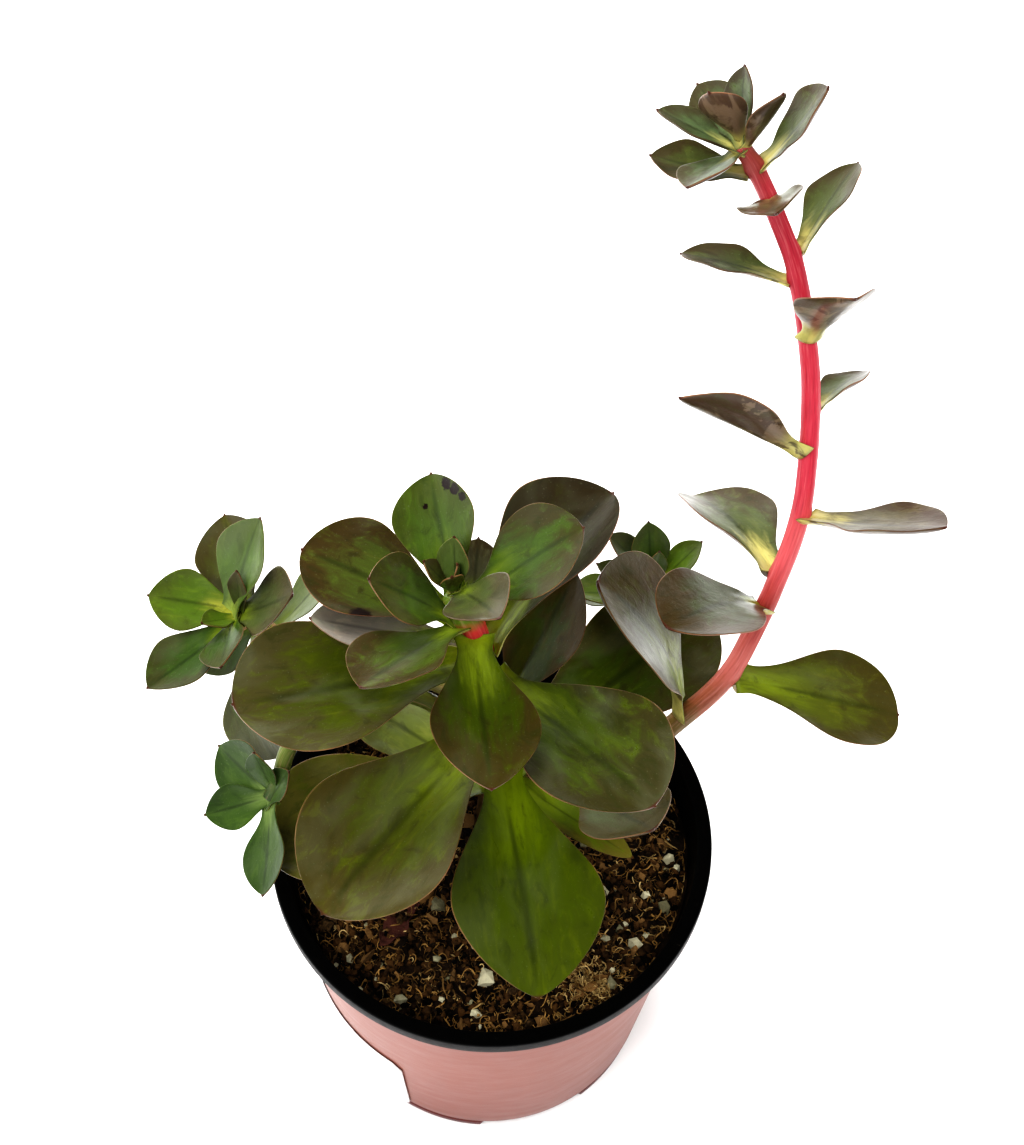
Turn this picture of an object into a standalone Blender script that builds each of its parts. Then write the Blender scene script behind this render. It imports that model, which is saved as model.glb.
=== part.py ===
"""A potted echeveria: a leggy rosette with a tall leafy flower stalk and three offsets, in a nursery pot.

Lengths here are millimetres and angles are degrees; each mesh is scaled to metres as it is made.
The pot stands on z = 0 with its axis on x = y = 0, and -Y is the front.
"""

import math
from collections import namedtuple

import bpy
import bmesh
import numpy as np

MM = 0.001
GAP = 0.3  # clearance left between two pieces that touch

# The pot, a thin formed plastic shell
POT_HEIGHT = 90.0
BASE_RADIUS = 43.5
TOP_RADIUS = 51.3  # the wall's outer radius, carried up to the rim
WALL = 1.0
FLOOR_Z = 1.8
FLOOR_THICKNESS = 1.2
CORNER = 3.0  # how far up the wall the rounded bottom corner reaches
LIP_RADIUS = 54.0
LIP_HEIGHT = 4.0
LIP_THICKNESS = 0.9
LIP_ROUND = 0.6
AROUND_POT = 40
FEET = 4
FOOT_SPAN = 54.0
FOOT_START = -144.0
FOOT_RADII = (34.0, 43.3)
PAD_RADIUS = 9.0  # a flat pad under the middle of the floor, level with the feet
DRAIN_RADIUS = 4.0
DRAIN_AT = 34.0
DRAIN_SIDES = 16

# The blank paper label on the wall
LABEL_START, LABEL_SPAN = 165.0, 78.0
LABEL_LOW, LABEL_HIGH = 3.0, 41.0
LABEL_THICKNESS = 0.4
LABEL_CORNER = 4.0
LABEL_COLUMNS = 26

# The soil
SOIL_LEVEL = 80.5
SOIL_RINGS, SOIL_AROUND = 9, 32
SOIL_EDGE_DROP = 2.0

# Stems: points on the centre line, with the radii at their two ends
STEM_SIDES = 12
SPAN_STEPS = 4
MAIN_STEM = ((0, 8, 68), (0, 9, 80), (1, 12.5, 105), (-2, 16.5, 130), (-5, 20, 149), (-9, 23, 162))
MAIN_RADII = (4.4, 2.9)
HOLE_EXTRA = 0.3
FLOWER_STALK = (
    (5, 11.6, 94.5), (20, 14, 95), (34, 18, 99), (45, 23, 107), (55.5, 29.5, 116), (61, 36, 125),
    (66, 44, 137), (70, 52.5, 149), (71, 60, 160), (70.5, 70, 174), (68.5, 78, 185.5),
    (64.5, 87, 198.5), (59, 94, 208.5), (54, 99.5, 216), (50, 101.5, 220.5),
)
STALK_RADII = (2.7, 2.0)
LEFT_OFFSET_STEM = (
    (-4.7, 17.4, 124), (-20, 26, 121), (-40, 38, 114), (-55, 44.5, 109.5), (-61, 42, 115), (-62.3, 40, 122),
)
LOW_OFFSET_STEM = (
    (-4.3, 15.2, 113), (-20, 20, 121), (-38, 16, 124), (-47, 7, 120), (-50, 0, 114), (-52.5, -3, 110.9),
)
BACK_OFFSET_STEM = (
    (3.4, 14.1, 89.5), (14, 28, 93), (24, 44, 94), (32, 58, 95.5), (38, 67, 101), (39, 66, 108),
    (39, 58, 116), (38.4, 52, 123.3),
)
OFFSET_RADII = (2.2, 1.9)

# Leaves
LEAF_ROWS, LEAF_COLUMNS = 9, 5
SMALL_ROWS, SMALL_COLUMNS = 7, 4
EDGE = 0.7  # thickness along a leaf's margin
TIP_HALF_WIDTH = 0.35
LEAF_GAP = 0.75  # from the stem to the middle of a large leaf's flat root
FRONT = np.array([0.0, -1.0, 0.0])  # the direction that "around" is counted from
UPRIGHT = np.array([0.0, 0.0, 1.0])

Leaf = namedtuple("Leaf", "place around out length width bend roll cup neck waist")
# place: height on the main stem, distance along the stalk, or a point
# around: direction round the stem, 0 to the front and 90 to the right
# out: angle between the leaf and the stem, or the vertical on the main stem
# bend: how much the leaf turns up from base to tip
# roll: turn about its own midrib
# cup: how far the margins rise, as a share of the half width
# neck: width at the base as a share of the full width
# waist: where the leaf is widest, as a share of its length
MAIN_LEAVES = {
    "leaf_top": Leaf(156.5, -162, 51, 27.4, 19.5, -30, -30, 0.36, 0.27, 0.64),
    "leaf_crown_left": Leaf(154.6, -78, 42, 25.5, 17, -9, -11, 0.27, 0.28, 0.64),
    "leaf_right_inner": Leaf(158, 100, 46, 32, 21, -19, 11, 0.28, 0.30, 0.63),
    "leaf_right_back": Leaf(143, 136, 62, 44.1, 31, -33, -19, 0.40, 0.29, 0.67),
    "leaf_left_upper": Leaf(152.3, -109, 78, 37.2, 24.5, -9, -5, 0.27, 0.25, 0.65),
    "leaf_left_inner": Leaf(153.6, -38, 65, 34.3, 20.5, -10, 15, 0.27, 0.22, 0.67),
    "leaf_left_wide": Leaf(142, -71, 83, 53, 34.5, 13, 0, 0.21, 0.30, 0.67),
    "leaf_front_inner": Leaf(151, 7, 83, 40.2, 24, 5, -7, 0.25, 0.33, 0.63),
    "leaf_right_front": Leaf(138, 43, 78, 52, 34, -12, -5, 0.27, 0.22, 0.65),
    "leaf_front_long": Leaf(107, 10, 93, 57, 36, -13, -9, 0.26, 0.27, 0.63),
    "leaf_front_left": Leaf(119, -38, 96, 56.2, 38.5, -11, 5, 0.30, 0.31, 0.65),
    "leaf_left_lower": Leaf(99, -63, 86, 54.3, 37.5, -20, 10, 0.31, 0.27, 0.68),
    "leaf_left_hidden": Leaf(94, -120, 81, 40.4, 20, 0, 0, 0.25, 0.30, 0.63),
    "leaf_right_steep": Leaf(120, 142, 45.5, 36.6, 21.5, -5, -6, 0.26, 0.29, 0.63),
    "leaf_right_wide": Leaf(101.4, 129.4, 86.5, 64.4, 34.5, -8, -1, 0.16, 0.30, 0.71),
    "leaf_right_low_narrow": Leaf(100, 57, 94, 34.4, 9.5, 0, 0, 0.20, 0.50, 0.55),
    "leaf_back_upper": Leaf(152, 176, 60, 15.8, 12.5, -5, -8, 0.26, 0.30, 0.60),
    "leaf_left_behind": Leaf(147, -87, 73, 34.1, 17, 10, 14, 0.22, 0.28, 0.64),
}
STALK_LEAVES = {
    "leaf_right_lower": Leaf(15.2, -36, 68, 37.5, 23, 20, 98.6, 0.20, 0.20, 0.66),
    "stalk_leaf_a": Leaf(48.1, -87, 77, 55.8, 30.5, -39, -26, 0.25, 0.22, 0.66),
    "stalk_leaf_b": Leaf(62.3, 83, 76, 45.3, 25.5, -3, 35, 0.25, 0.30, 0.64),
    "stalk_leaf_c": Leaf(82.2, -49, 89, 45.3, 24, -33, -5, 0.20, 0.25, 0.61),
    "stalk_leaf_d": Leaf(90, -164, 87, 38.5, 24, -33, -13, 0.36, 0.30, 0.58),
    "stalk_leaf_e": Leaf(106, 38, 73, 36.5, 19.5, 8, 12, 0.24, 0.32, 0.58),
    "stalk_leaf_f": Leaf(121.6, -66, 64, 35.1, 19, -13, 20, 0.30, 0.33, 0.60),
    "stalk_leaf_g": Leaf(131, 141, 78, 21, 11.5, -15, -9, 0.29, 0.30, 0.60),
    "stalk_leaf_h": Leaf(148.8, 24, 63, 28, 18, -21, -6, 0.33, 0.33, 0.60),
    "stalk_leaf_i": Leaf(161.7, -100, 65, 24.7, 13, -12, -9, 0.29, 0.32, 0.59),
    "stalk_leaf_j": Leaf(167.6, 136, 63, 24.7, 13.5, -11, 9, 0.30, 0.31, 0.60),
    "stalk_leaf_k": Leaf(181.3, 15, 88, 25.2, 14.5, -13, -5, 0.24, 0.24, 0.60),
    "stalk_leaf_l": Leaf(188.7, 79, 64, 22.8, 14.5, 12, 24, 0.28, 0.34, 0.58),
    "stalk_leaf_m": Leaf(188.3, -87, 53, 20.9, 13, 16, -24, 0.25, 0.35, 0.59),
}
# Small leaves of the heads: their place is an offset from the head's middle
STALK_HEAD_AT, STALK_HEAD_AXIS = (50.1, 101.5, 221.2), (-0.36, 0.31, 0.88)
STALK_HEAD = (
    Leaf((-0.5, -1.2, -1.3), -28, 80, 20.5, 13, 2, 0, 0.30, 0.32, 0.61),
    Leaf((0, -0.8, -1), -92, 46, 20, 12, 3, -2, 0.30, 0.33, 0.59),
    Leaf((0.5, 0.5, 0.5), -148, 55, 18, 11.5, -3, -17, 0.30, 0.33, 0.61),
    Leaf((-0.3, 0, 0), 130, 24, 16.5, 10, 2, 3, 0.29, 0.33, 0.60),
    Leaf((0.4, 0.9, 1), -16, 31, 18.5, 10.5, 0, 3, 0.30, 0.32, 0.59),
    Leaf((1.4, -0.4, 0), 58, 47, 18, 10.5, 3, -12, 0.29, 0.33, 0.61),
)
LEFT_OFFSET_AT, LEFT_OFFSET_AXIS = (-62.3, 40, 122), (-0.25, -0.25, 0.93)
LEFT_OFFSET = (
    Leaf((-0.6, 1.6, 1.2), -101, 72, 22, 15.5, 4, -6, 0.29, 0.31, 0.60),
    Leaf((-1.3, -1.1, -0.4), -47, 70, 26.5, 15.5, 8, 4, 0.27, 0.33, 0.62),
    Leaf((-2.4, 0.9, 0.9), 143, 56, 26, 16, -12, -8, 0.34, 0.33, 0.60),
    Leaf((1.1, 1.2, 0.2), -168, 89, 27, 18.5, 1, -3, 0.28, 0.33, 0.61),
    Leaf((-0.5, 0.8, 0.4), 81, 50, 26, 18, 10, -7, 0.22, 0.33, 0.62),
    Leaf((0, 0.5, 0.4), 152, 32, 14, 5.5, 3, 0, 0.28, 0.40, 0.59),
    Leaf((-1.8, -0.5, 0), 7, 52, 20.5, 13, 2, 15, 0.29, 0.33, 0.61),
    Leaf((-1.0, 0, 0.3), -53, 34, 11, 6.5, 4, 3, 0.29, 0.38, 0.60),
    Leaf((3.0, 0.4, -1.8), -60, 108, 19.5, 12, 10, -16, 0.27, 0.34, 0.59),
    Leaf((6.5, 3.5, -11.0), 125, 70, 25, 12.5, 20, -20, 0.22, 0.33, 0.62),
)
HANGING_LEAF = Leaf((-57.6, 40.7, 113.8), 9.6, 92, 33, 29.4, -58, 47, 0.29, 0.31, 0.62)
LOW_OFFSET_AT, LOW_OFFSET_AXIS = (-52.5, -3, 110.9), (-0.64, -0.43, 0.64)
LOW_OFFSET = (
    Leaf((0.2, 0.3, 0.2), -152, 77, 18, 14, 3, 6, 0.29, 0.33, 0.60),
    Leaf((1.2, 0.6, 0.1), 148, 51, 13.5, 8.5, 8, 9, 0.27, 0.33, 0.60),
    Leaf((0.8, 0.5, 0.1), -92, 55, 16.5, 11, 5, -4, 0.28, 0.34, 0.59),
    Leaf((-0.5, -0.9, -0.6), 108, 79, 12.5, 8, 7, -7, 0.28, 0.33, 0.59),
    Leaf((0.1, -1.1, -0.6), -11, 75, 21.5, 12.5, 13, -8, 0.26, 0.30, 0.60),
)
BACK_OFFSET_AT, BACK_OFFSET_AXIS = (38.4, 52, 123.3), (0.1, 0.1, 0.99)
BACK_OFFSET = (
    Leaf((0.4, 0.5, 0.4), -110, 52, 17.5, 10, 1, 1, 0.29, 0.33, 0.60),
    Leaf((-0.4, -0.2, -0.3), -160, 32, 16.5, 10, 5, -8, 0.27, 0.33, 0.61),
    Leaf((0.5, 0.1, 0.1), 119, 44, 15.5, 8.5, 7, -5, 0.28, 0.36, 0.60),
    Leaf((-0.8, -0.9, -0.9), -112, 82, 14.5, 8, 9, 2, 0.27, 0.36, 0.60),
    Leaf((0.2, 0.2, 0.2), -175, 18, 9, 5, 5, 0, 0.28, 0.44, 0.60),
    Leaf((-1.8, -0.7, -0.6), -71, 79, 20, 12, 14, 9, 0.24, 0.33, 0.62),
    Leaf((-0.8, 0.5, -2.5), -104, 124, 19, 9, 14, 7, 0.24, 0.36, 0.60),
)
CROWN_AT, CROWN_AXIS = (-9.8, 23.4, 161.5), (-0.15, 0.1, 0.95)
CROWN = (
    Leaf((1.5, -1.9, 2.1), 29, 57, 28.5, 16, -19, 9, 0.31, 0.28, 0.61),
    Leaf((0.4, -0.2, -0.4), 160, 19, 13.5, 8, 4, -4, 0.28, 0.36, 0.58),
    Leaf((-0.3, 0, 0), -100, 28, 10, 6, 4, 0, 0.28, 0.40, 0.60),
    Leaf((0, -0.3, 0), 20, 22, 9, 5.5, 4, 0, 0.28, 0.42, 0.60),
    Leaf((0.2, 0, 0.3), 90, 12, 8, 5, 4, 0, 0.28, 0.42, 0.60),
)
CORE_RADIUS = 2.4
SINK = 1.6  # how far a small leaf's root runs into its stem

# A withered leaf that lies on the soil
DRY_LEAF = Leaf((-18.5, -16.5, 81.8), -35, 84, 13, 6.5, 34, 12, 0.5, 0.3, 0.55)


def unit(vector):
    vector = np.asarray(vector, float)
    return vector / np.linalg.norm(vector)


def soft_step(x):
    x = np.clip(x, 0.0, 1.0)
    return x * x * (3.0 - 2.0 * x)


def smooth_path(points, steps=SPAN_STEPS):
    """A Catmull-Rom curve through the points."""
    points = np.asarray(points, float)
    ends = np.vstack([2 * points[0] - points[1], points, 2 * points[-1] - points[-2]])
    t = (np.arange(steps) / steps)[:, None]
    spans = []
    for a, b, c, d in zip(ends, ends[1:], ends[2:], ends[3:]):
        bend, twist = 2 * a - 5 * b + 4 * c - d, 3 * b - a - 3 * c + d
        spans.append(0.5 * (2 * b + (c - a) * t + bend * t**2 + twist * t**3))
    return np.vstack([*spans, points[-1]])


def stopped_at(points, target):
    """The points, with the last one set just clear of the core that a head has round the target."""
    target = np.array(target, float)
    last = target + unit(np.array(points[-2]) - target) * (CORE_RADIUS + 2 * GAP)
    return [*points[:-1], last]


def distances(path):
    """How far along the path each of its points lies."""
    return np.concatenate([[0.0], np.cumsum(np.linalg.norm(np.diff(path, axis=0), axis=1))])


def along(path, distance):
    """The point and the direction at this distance along a path."""
    lengths = distances(path)
    near = distance + np.array([-0.5, 0.0, 0.5])
    before, point, after = np.stack([np.interp(near, lengths, path[:, k]) for k in range(3)], axis=1)
    return point, unit(after - before)


def radius_at(path, distance, radii):
    """A stem's radius, which tapers evenly from its first value to its second."""
    return np.interp(distance, (0, distances(path)[-1]), radii)


def grid_faces(rows, columns, closed_rows=False):
    """Triangles of a grid of points, row by row."""
    faces = []
    for i in range(rows - 1):
        for j in range(columns if closed_rows else columns - 1):
            a, b = i * columns + j, i * columns + (j + 1) % columns
            faces += [(a, a + columns, b), (b, a + columns, b + columns)]
    return faces


def tube(path, radii, sides=STEM_SIDES):
    """A round stem along a path, with flat ends, that tapers from the first radius to the last."""
    tangents = np.gradient(path, axis=0)
    tangents /= np.linalg.norm(tangents, axis=1)[:, None]
    side = unit(np.cross(tangents[0], (0.3, 0.9, 0.1)))
    radius = radius_at(path, distances(path), radii)
    angles = 2 * math.pi * np.arange(sides) / sides
    rings = []
    for point, tangent, r in zip(path, tangents, radius):
        side = unit(side - tangent * (side @ tangent))
        up = np.cross(tangent, side)
        rings.append(point + r * (np.cos(angles)[:, None] * side + np.sin(angles)[:, None] * up))
    points = np.vstack([*rings, path[0], path[-1]])
    faces = [(a, c, b) for a, b, c in grid_faces(len(path), sides, closed_rows=True)]
    first, last, top = len(points) - 2, len(points) - 1, (len(path) - 1) * sides
    for j in range(sides):
        following = (j + 1) % sides
        faces += [(first, following, j), (last, top + j, top + following)]
    return points, faces


def half_width(share, leaf):
    """A leaf's half width along its length: a neck that swells to the waist, then rounds in to the tip."""
    swell = leaf.neck + (1 - leaf.neck) * soft_step((share - 0.06) / (leaf.waist - 0.06))
    past = np.clip((share - leaf.waist) / (1 - leaf.waist), 0.0, 1.0)
    return np.where(share < leaf.waist, swell, (1 - past**1.7) ** 0.8) * leaf.width / 2


def leaf_solid(leaf, root, axis, offset, rows=LEAF_ROWS, columns=LEAF_COLUMNS, sink=0.0):
    """A fleshy leaf: a cupped spoon on a bent midrib, thick along its middle and thin at its margins.

    It stands on a stem that runs along axis, with its root this far from the stem's centre line.
    """
    forward = unit(FRONT - axis * (FRONT @ axis))
    around, out, roll = np.radians([leaf.around, leaf.out, leaf.roll])
    spoke = forward * math.cos(around) + np.cross(axis, forward) * math.sin(around)
    ahead = axis * math.cos(out) + spoke * math.sin(out)
    above = axis * math.sin(out) - spoke * math.cos(out)
    side = np.cross(above, ahead) * math.cos(roll) + above * math.sin(roll)
    above = np.cross(ahead, side)

    share = np.linspace(0, 1, rows)
    turn = math.radians(leaf.bend) * (share - 0.5)[:, None]
    run = ahead * np.cos(turn) + above * np.sin(turn)
    lift = above * np.cos(turn) - ahead * np.sin(turn)
    steps = (run[1:] + run[:-1]) / 2 * (leaf.length / (rows - 1))
    midrib = root + spoke * offset + np.vstack([np.zeros(3), np.cumsum(steps, axis=0)])
    midrib[0] -= run[0] * sink

    half = np.maximum(half_width(share, leaf), TIP_HALF_WIDTH)
    across = np.linspace(-1, 1, columns)
    top = midrib[:, None] + side * (across[None, :] * half[:, None])[..., None]
    top = top + lift[:, None] * (leaf.cup * across[None, :] ** 2 * half[:, None])[..., None]
    core = 0.055 * leaf.length * (1 - 0.45 * share) * np.minimum(1.0, (half / half.max()) ** 0.5 + 0.25)
    core = np.maximum(core, EDGE)
    thick = EDGE + (core - EDGE)[:, None] * (1 - across[None, :] ** 2)
    under = top - lift[:, None] * thick[..., None]
    points = np.vstack([top.reshape(-1, 3), under.reshape(-1, 3)])

    count = rows * columns
    upper = grid_faces(rows, columns)
    faces = upper + [(a + count, c + count, b + count) for a, b, c in upper]
    for j, flip in ((0, True), (columns - 1, False)):
        for i in range(rows - 1):
            a, b = i * columns + j, (i + 1) * columns + j
            strip = [(a, a + count, b), (b, a + count, b + count)]
            faces += [(p, r, q) for p, q, r in strip] if flip else strip
    for i, flip in ((0, False), (rows - 1, True)):
        for j in range(columns - 1):
            a, b = i * columns + j, i * columns + j + 1
            strip = [(a, a + count, b), (b, a + count, b + count)]
            faces += [(p, r, q) for p, q, r in strip] if flip else strip
    return points, faces


def plain_material(name, colour, roughness):
    material = bpy.data.materials.new(name)
    material.use_nodes = True
    shader = material.node_tree.nodes["Principled BSDF"]
    shader.inputs["Base Color"].default_value = (*colour, 1)
    shader.inputs["Roughness"].default_value = roughness
    material.diffuse_color = (*colour, 1)
    return material


def solid(name, shape, material=None, smooth=True):
    """An object from points in millimetres and faces that point outwards."""
    points, faces = shape
    mesh = bpy.data.meshes.new(name)
    mesh.from_pydata((np.asarray(points) * MM).tolist(), [], faces)
    work = bmesh.new()
    work.from_mesh(mesh)
    bmesh.ops.recalc_face_normals(work, faces=work.faces)
    work.to_mesh(mesh)
    work.free()
    if smooth:
        mesh.shade_smooth()
        mesh.set_sharp_from_angle(angle=math.radians(35))
    if material:
        mesh.materials.append(material)
    piece = bpy.data.objects.new(name, mesh)
    bpy.context.scene.collection.objects.link(piece)
    return piece


def boolean(piece, others, operation):
    """Joins the other solids to this one, or cuts them from it, and removes them."""
    group = bpy.data.collections.new(piece.name + "_others")
    bpy.context.scene.collection.children.link(group)
    for other in others:
        bpy.context.scene.collection.objects.unlink(other)
        group.objects.link(other)
    modifier = piece.modifiers.new("Join", "BOOLEAN")
    modifier.operation = operation
    modifier.operand_type = "COLLECTION"
    modifier.collection = group
    modifier.solver = "EXACT"
    graph = bpy.context.evaluated_depsgraph_get()
    result = bpy.data.meshes.new_from_object(piece.evaluated_get(graph))
    piece.modifiers.clear()
    piece.data = result
    for other in others:
        bpy.data.objects.remove(other)
    bpy.data.collections.remove(group)
    return piece


def turned(profile, around):
    """Points and faces of a closed outline of (radius, height) turned about Z. Its ends lie on the axis."""
    angles = 2 * math.pi * np.arange(around) / around
    ring = np.stack([np.cos(angles), np.sin(angles), np.zeros(around)], axis=1)
    inner = np.array(profile[1:-1])
    points = [(0.0, 0.0, profile[0][1])]
    for radius, height in inner:
        points += (ring * radius + (0, 0, height)).tolist()
    points.append((0.0, 0.0, profile[-1][1]))
    faces = [(a + 1, b + 1, c + 1) for a, b, c in grid_faces(len(inner), around, closed_rows=True)]
    last, base = len(points) - 1, 1 + (len(inner) - 1) * around
    for j in range(around):
        following = (j + 1) % around
        faces += [(0, 1 + j, 1 + following), (last, base + following, base + j)]
    return points, faces


def wall_radius(height):
    """The pot wall's outer radius at a height."""
    return BASE_RADIUS + (TOP_RADIUS - BASE_RADIUS) * height / POT_HEIGHT


def round_corner(centre, radius, start, end, steps=3):
    """Points of an arc in the outline's plane."""
    angles = np.radians(np.linspace(start, end, steps + 1))
    return [(centre[0] + radius * math.cos(a), centre[1] + radius * math.sin(a)) for a in angles]


def sector(start, span, inner, outer, low, high, steps=6):
    """A block between two radii, two heights and two directions."""
    angles = np.radians(start + span * np.linspace(0, 1, steps + 1))
    points = []
    for a in angles:
        for radius, height in ((inner, low), (outer, low), (outer, high), (inner, high)):
            points.append((radius * math.cos(a), radius * math.sin(a), height))
    faces = grid_faces(steps + 1, 4, closed_rows=True)
    end = 4 * steps
    faces += [(0, 1, 2), (0, 2, 3), (end, end + 2, end + 1), (end, end + 3, end + 2)]
    return points, faces


def make_pot(material):
    """A tapered shell with a downturned lip, a raised floor on four feet and a drain hole between feet."""
    under = POT_HEIGHT - LIP_THICKNESS
    corner_out = (BASE_RADIUS - CORNER + 0.2, FLOOR_Z + CORNER)
    lip_low = POT_HEIGHT - LIP_HEIGHT
    top_corner = (LIP_RADIUS - LIP_ROUND, POT_HEIGHT - LIP_ROUND)
    inside = TOP_RADIUS - WALL
    floor_top = FLOOR_Z + FLOOR_THICKNESS
    profile = [
        (0, 0),
        (PAD_RADIUS, 0),
        (PAD_RADIUS, FLOOR_Z),
        *round_corner(corner_out, CORNER, -90, 0),
        (wall_radius(lip_low), lip_low),
        (wall_radius(under), under),
        (LIP_RADIUS - LIP_THICKNESS, under),
        (LIP_RADIUS - LIP_THICKNESS, lip_low),
        (LIP_RADIUS, lip_low),
        *round_corner(top_corner, LIP_ROUND, 0, 90, 2),
        (inside + LIP_ROUND, POT_HEIGHT),
        (inside, POT_HEIGHT - LIP_ROUND),
        (wall_radius(lip_low) - WALL, lip_low),
        (wall_radius(floor_top + CORNER) - WALL, floor_top + CORNER),
        (wall_radius(floor_top + CORNER) - WALL - CORNER, floor_top),
        (0, floor_top),
    ]
    pot = solid("pot", turned(profile, AROUND_POT), material)
    feet = []
    for k in range(FEET):
        start = FOOT_START + 360 / FEET * k
        foot = sector(start, FOOT_SPAN, *FOOT_RADII, 0.0, FLOOR_Z + FLOOR_THICKNESS / 2)
        feet.append(solid("foot", foot))
    boolean(pot, feet, "UNION")
    drains = []
    for k in range(FEET):
        middle = math.radians(FOOT_START + 360 / FEET * (k + 1) - (360 / FEET - FOOT_SPAN) / 2)
        centre = DRAIN_AT * np.array([math.cos(middle), math.sin(middle), 0.0])
        ends = centre + np.array([[0, 0, 0.5], [0, 0, 4.0]])
        drains.append(solid("drain", tube(ends, (DRAIN_RADIUS, DRAIN_RADIUS), DRAIN_SIDES)))
    return boolean(pot, drains, "DIFFERENCE")


def make_label(material):
    """A blank rectangle with round corners, wrapped on the wall."""
    columns = np.linspace(0, 1, LABEL_COLUMNS + 1)
    arc = math.radians(LABEL_SPAN) * wall_radius((LABEL_LOW + LABEL_HIGH) / 2)
    from_end = np.minimum(columns, 1 - columns) * arc
    inset = LABEL_CORNER - np.sqrt(
        np.maximum(LABEL_CORNER**2 - np.maximum(LABEL_CORNER - from_end, 0.0) ** 2, 0.0)
    )
    inset = np.minimum(inset, LABEL_CORNER * 0.95)
    points = []
    for share, cut in zip(columns, inset):
        a = math.radians(LABEL_START + LABEL_SPAN * share)
        low, high = LABEL_LOW + cut, LABEL_HIGH - cut
        for height, layer in ((low, 0), (low, 1), (high, 1), (high, 0)):
            radius = wall_radius(height) + GAP + LABEL_THICKNESS * layer
            points.append((radius * math.cos(a), radius * math.sin(a), height))
    faces = grid_faces(LABEL_COLUMNS + 1, 4, closed_rows=True)
    end = 4 * LABEL_COLUMNS
    faces += [(0, 1, 2), (0, 2, 3), (end, end + 2, end + 1), (end, end + 3, end + 2)]
    return solid("label", (points, faces), material)


def soil_height(x, y):
    """The soil's surface: a low mound of clods that sinks a little at the wall."""
    x, y = np.asarray(x, float), np.asarray(y, float)
    clods = (
        0.55 * np.sin(0.31 * x + 0.8) * np.cos(0.27 * y - 0.5)
        + 0.35 * np.sin(0.55 * x - 0.42 * y + 1.9)
        + 0.25 * np.cos(0.71 * y + 0.33 * x + 0.4)
    )
    edge = (np.hypot(x, y) / (wall_radius(SOIL_LEVEL) - WALL)) ** 6
    return SOIL_LEVEL + clods - SOIL_EDGE_DROP * edge


def make_soil(material, stem_path):
    """Potting mix that fills the pot, with a plain hole for the main stem."""
    bottom = FLOOR_Z + FLOOR_THICKNESS + GAP
    corner = bottom + CORNER
    top_radius = wall_radius(SOIL_LEVEL) - WALL - GAP - 0.2
    angles = 2 * math.pi * np.arange(SOIL_AROUND) / SOIL_AROUND
    rings = []
    for share in np.linspace(0, 1, SOIL_RINGS)[1:]:
        x, y = top_radius * share * np.cos(angles), top_radius * share * np.sin(angles)
        rings.append(np.stack([x, y, soil_height(x, y)], axis=1))
    for radius, height in (
        (wall_radius(corner) - WALL - GAP - 0.2, corner),
        (wall_radius(corner) - WALL - GAP - 0.2 - CORNER, bottom),
    ):
        ring = [radius * np.cos(angles), radius * np.sin(angles), np.full(SOIL_AROUND, height)]
        rings.append(np.stack(ring, axis=1))
    points = np.vstack([[0, 0, float(soil_height(0, 0))], *rings, [0, 0, bottom]])
    faces = [(a + 1, b + 1, c + 1) for a, b, c in grid_faces(len(rings), SOIL_AROUND, closed_rows=True)]
    last, base = len(points) - 1, 1 + (len(rings) - 1) * SOIL_AROUND
    for j in range(SOIL_AROUND):
        following = (j + 1) % SOIL_AROUND
        faces += [(0, 1 + j, 1 + following), (last, base + following, base + j)]
    soil = solid("soil", (points, faces), material)
    start = stem_path[0] - unit(stem_path[1] - stem_path[0]) * HOLE_EXTRA
    hole_path = np.vstack([start, stem_path[stem_path[:, 2] < SOIL_LEVEL + 8]])
    hole = solid("hole", tube(hole_path, (MAIN_RADII[0] + GAP, MAIN_RADII[0] + GAP)))
    return boolean(soil, [hole], "DIFFERENCE")


def small_leaves(leaves, middle, axis):
    """The small leaves of a head, with roots that run into its core."""
    axis = unit(axis)
    pieces = []
    for leaf in leaves:
        root = np.array(middle) + leaf.place
        shape = leaf_solid(leaf, root, axis, 0.0, SMALL_ROWS, SMALL_COLUMNS, sink=SINK)
        pieces.append(solid("small_leaf", shape))
    return pieces


def ball(centre, radius, rings=5, around=8):
    """A small closed core."""
    turns = math.pi * np.arange(rings + 1) / rings
    points, faces = turned(list(zip(radius * np.sin(turns), -radius * np.cos(turns))), around)
    return np.array(points) + centre, faces


def make_head(name, leaves, middle, axis, material, stem=None):
    """A head of small leaves fused round its core, and with the stem that carries it."""
    pieces = small_leaves(leaves, middle, axis)
    core = ball(np.array(middle), CORE_RADIUS)
    if stem is None:
        head = solid(name, core, material)
    else:
        head = solid(name, tube(smooth_path(stem, 2), OFFSET_RADII, 8), material)
        pieces.append(solid("core", core))
    return boolean(head, pieces, "UNION")


def make_leaves(materials):
    """The large leaves, each a piece of its own that ends just clear of its stem."""
    main = smooth_path(stopped_at(MAIN_STEM, CROWN_AT), 8)
    stalk = smooth_path(stopped_at(FLOWER_STALK, STALK_HEAD_AT), 8)
    for name, leaf in MAIN_LEAVES.items():
        distance = np.interp(leaf.place, main[:, 2], distances(main))
        root, _ = along(main, distance)
        radius = radius_at(main, distance, MAIN_RADII)
        solid(name, leaf_solid(leaf, root, UPRIGHT, radius + LEAF_GAP), materials["leaf"])
    for name, leaf in STALK_LEAVES.items():
        root, axis = along(stalk, leaf.place)
        radius = radius_at(stalk, leaf.place, STALK_RADII)
        solid(name, leaf_solid(leaf, root, axis, radius + LEAF_GAP), materials["leaf"])
    shape = leaf_solid(HANGING_LEAF, np.array(HANGING_LEAF.place), unit(LEFT_OFFSET_AXIS), 0.0)
    solid("leaf_hanging", shape, materials["leaf"])


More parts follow.
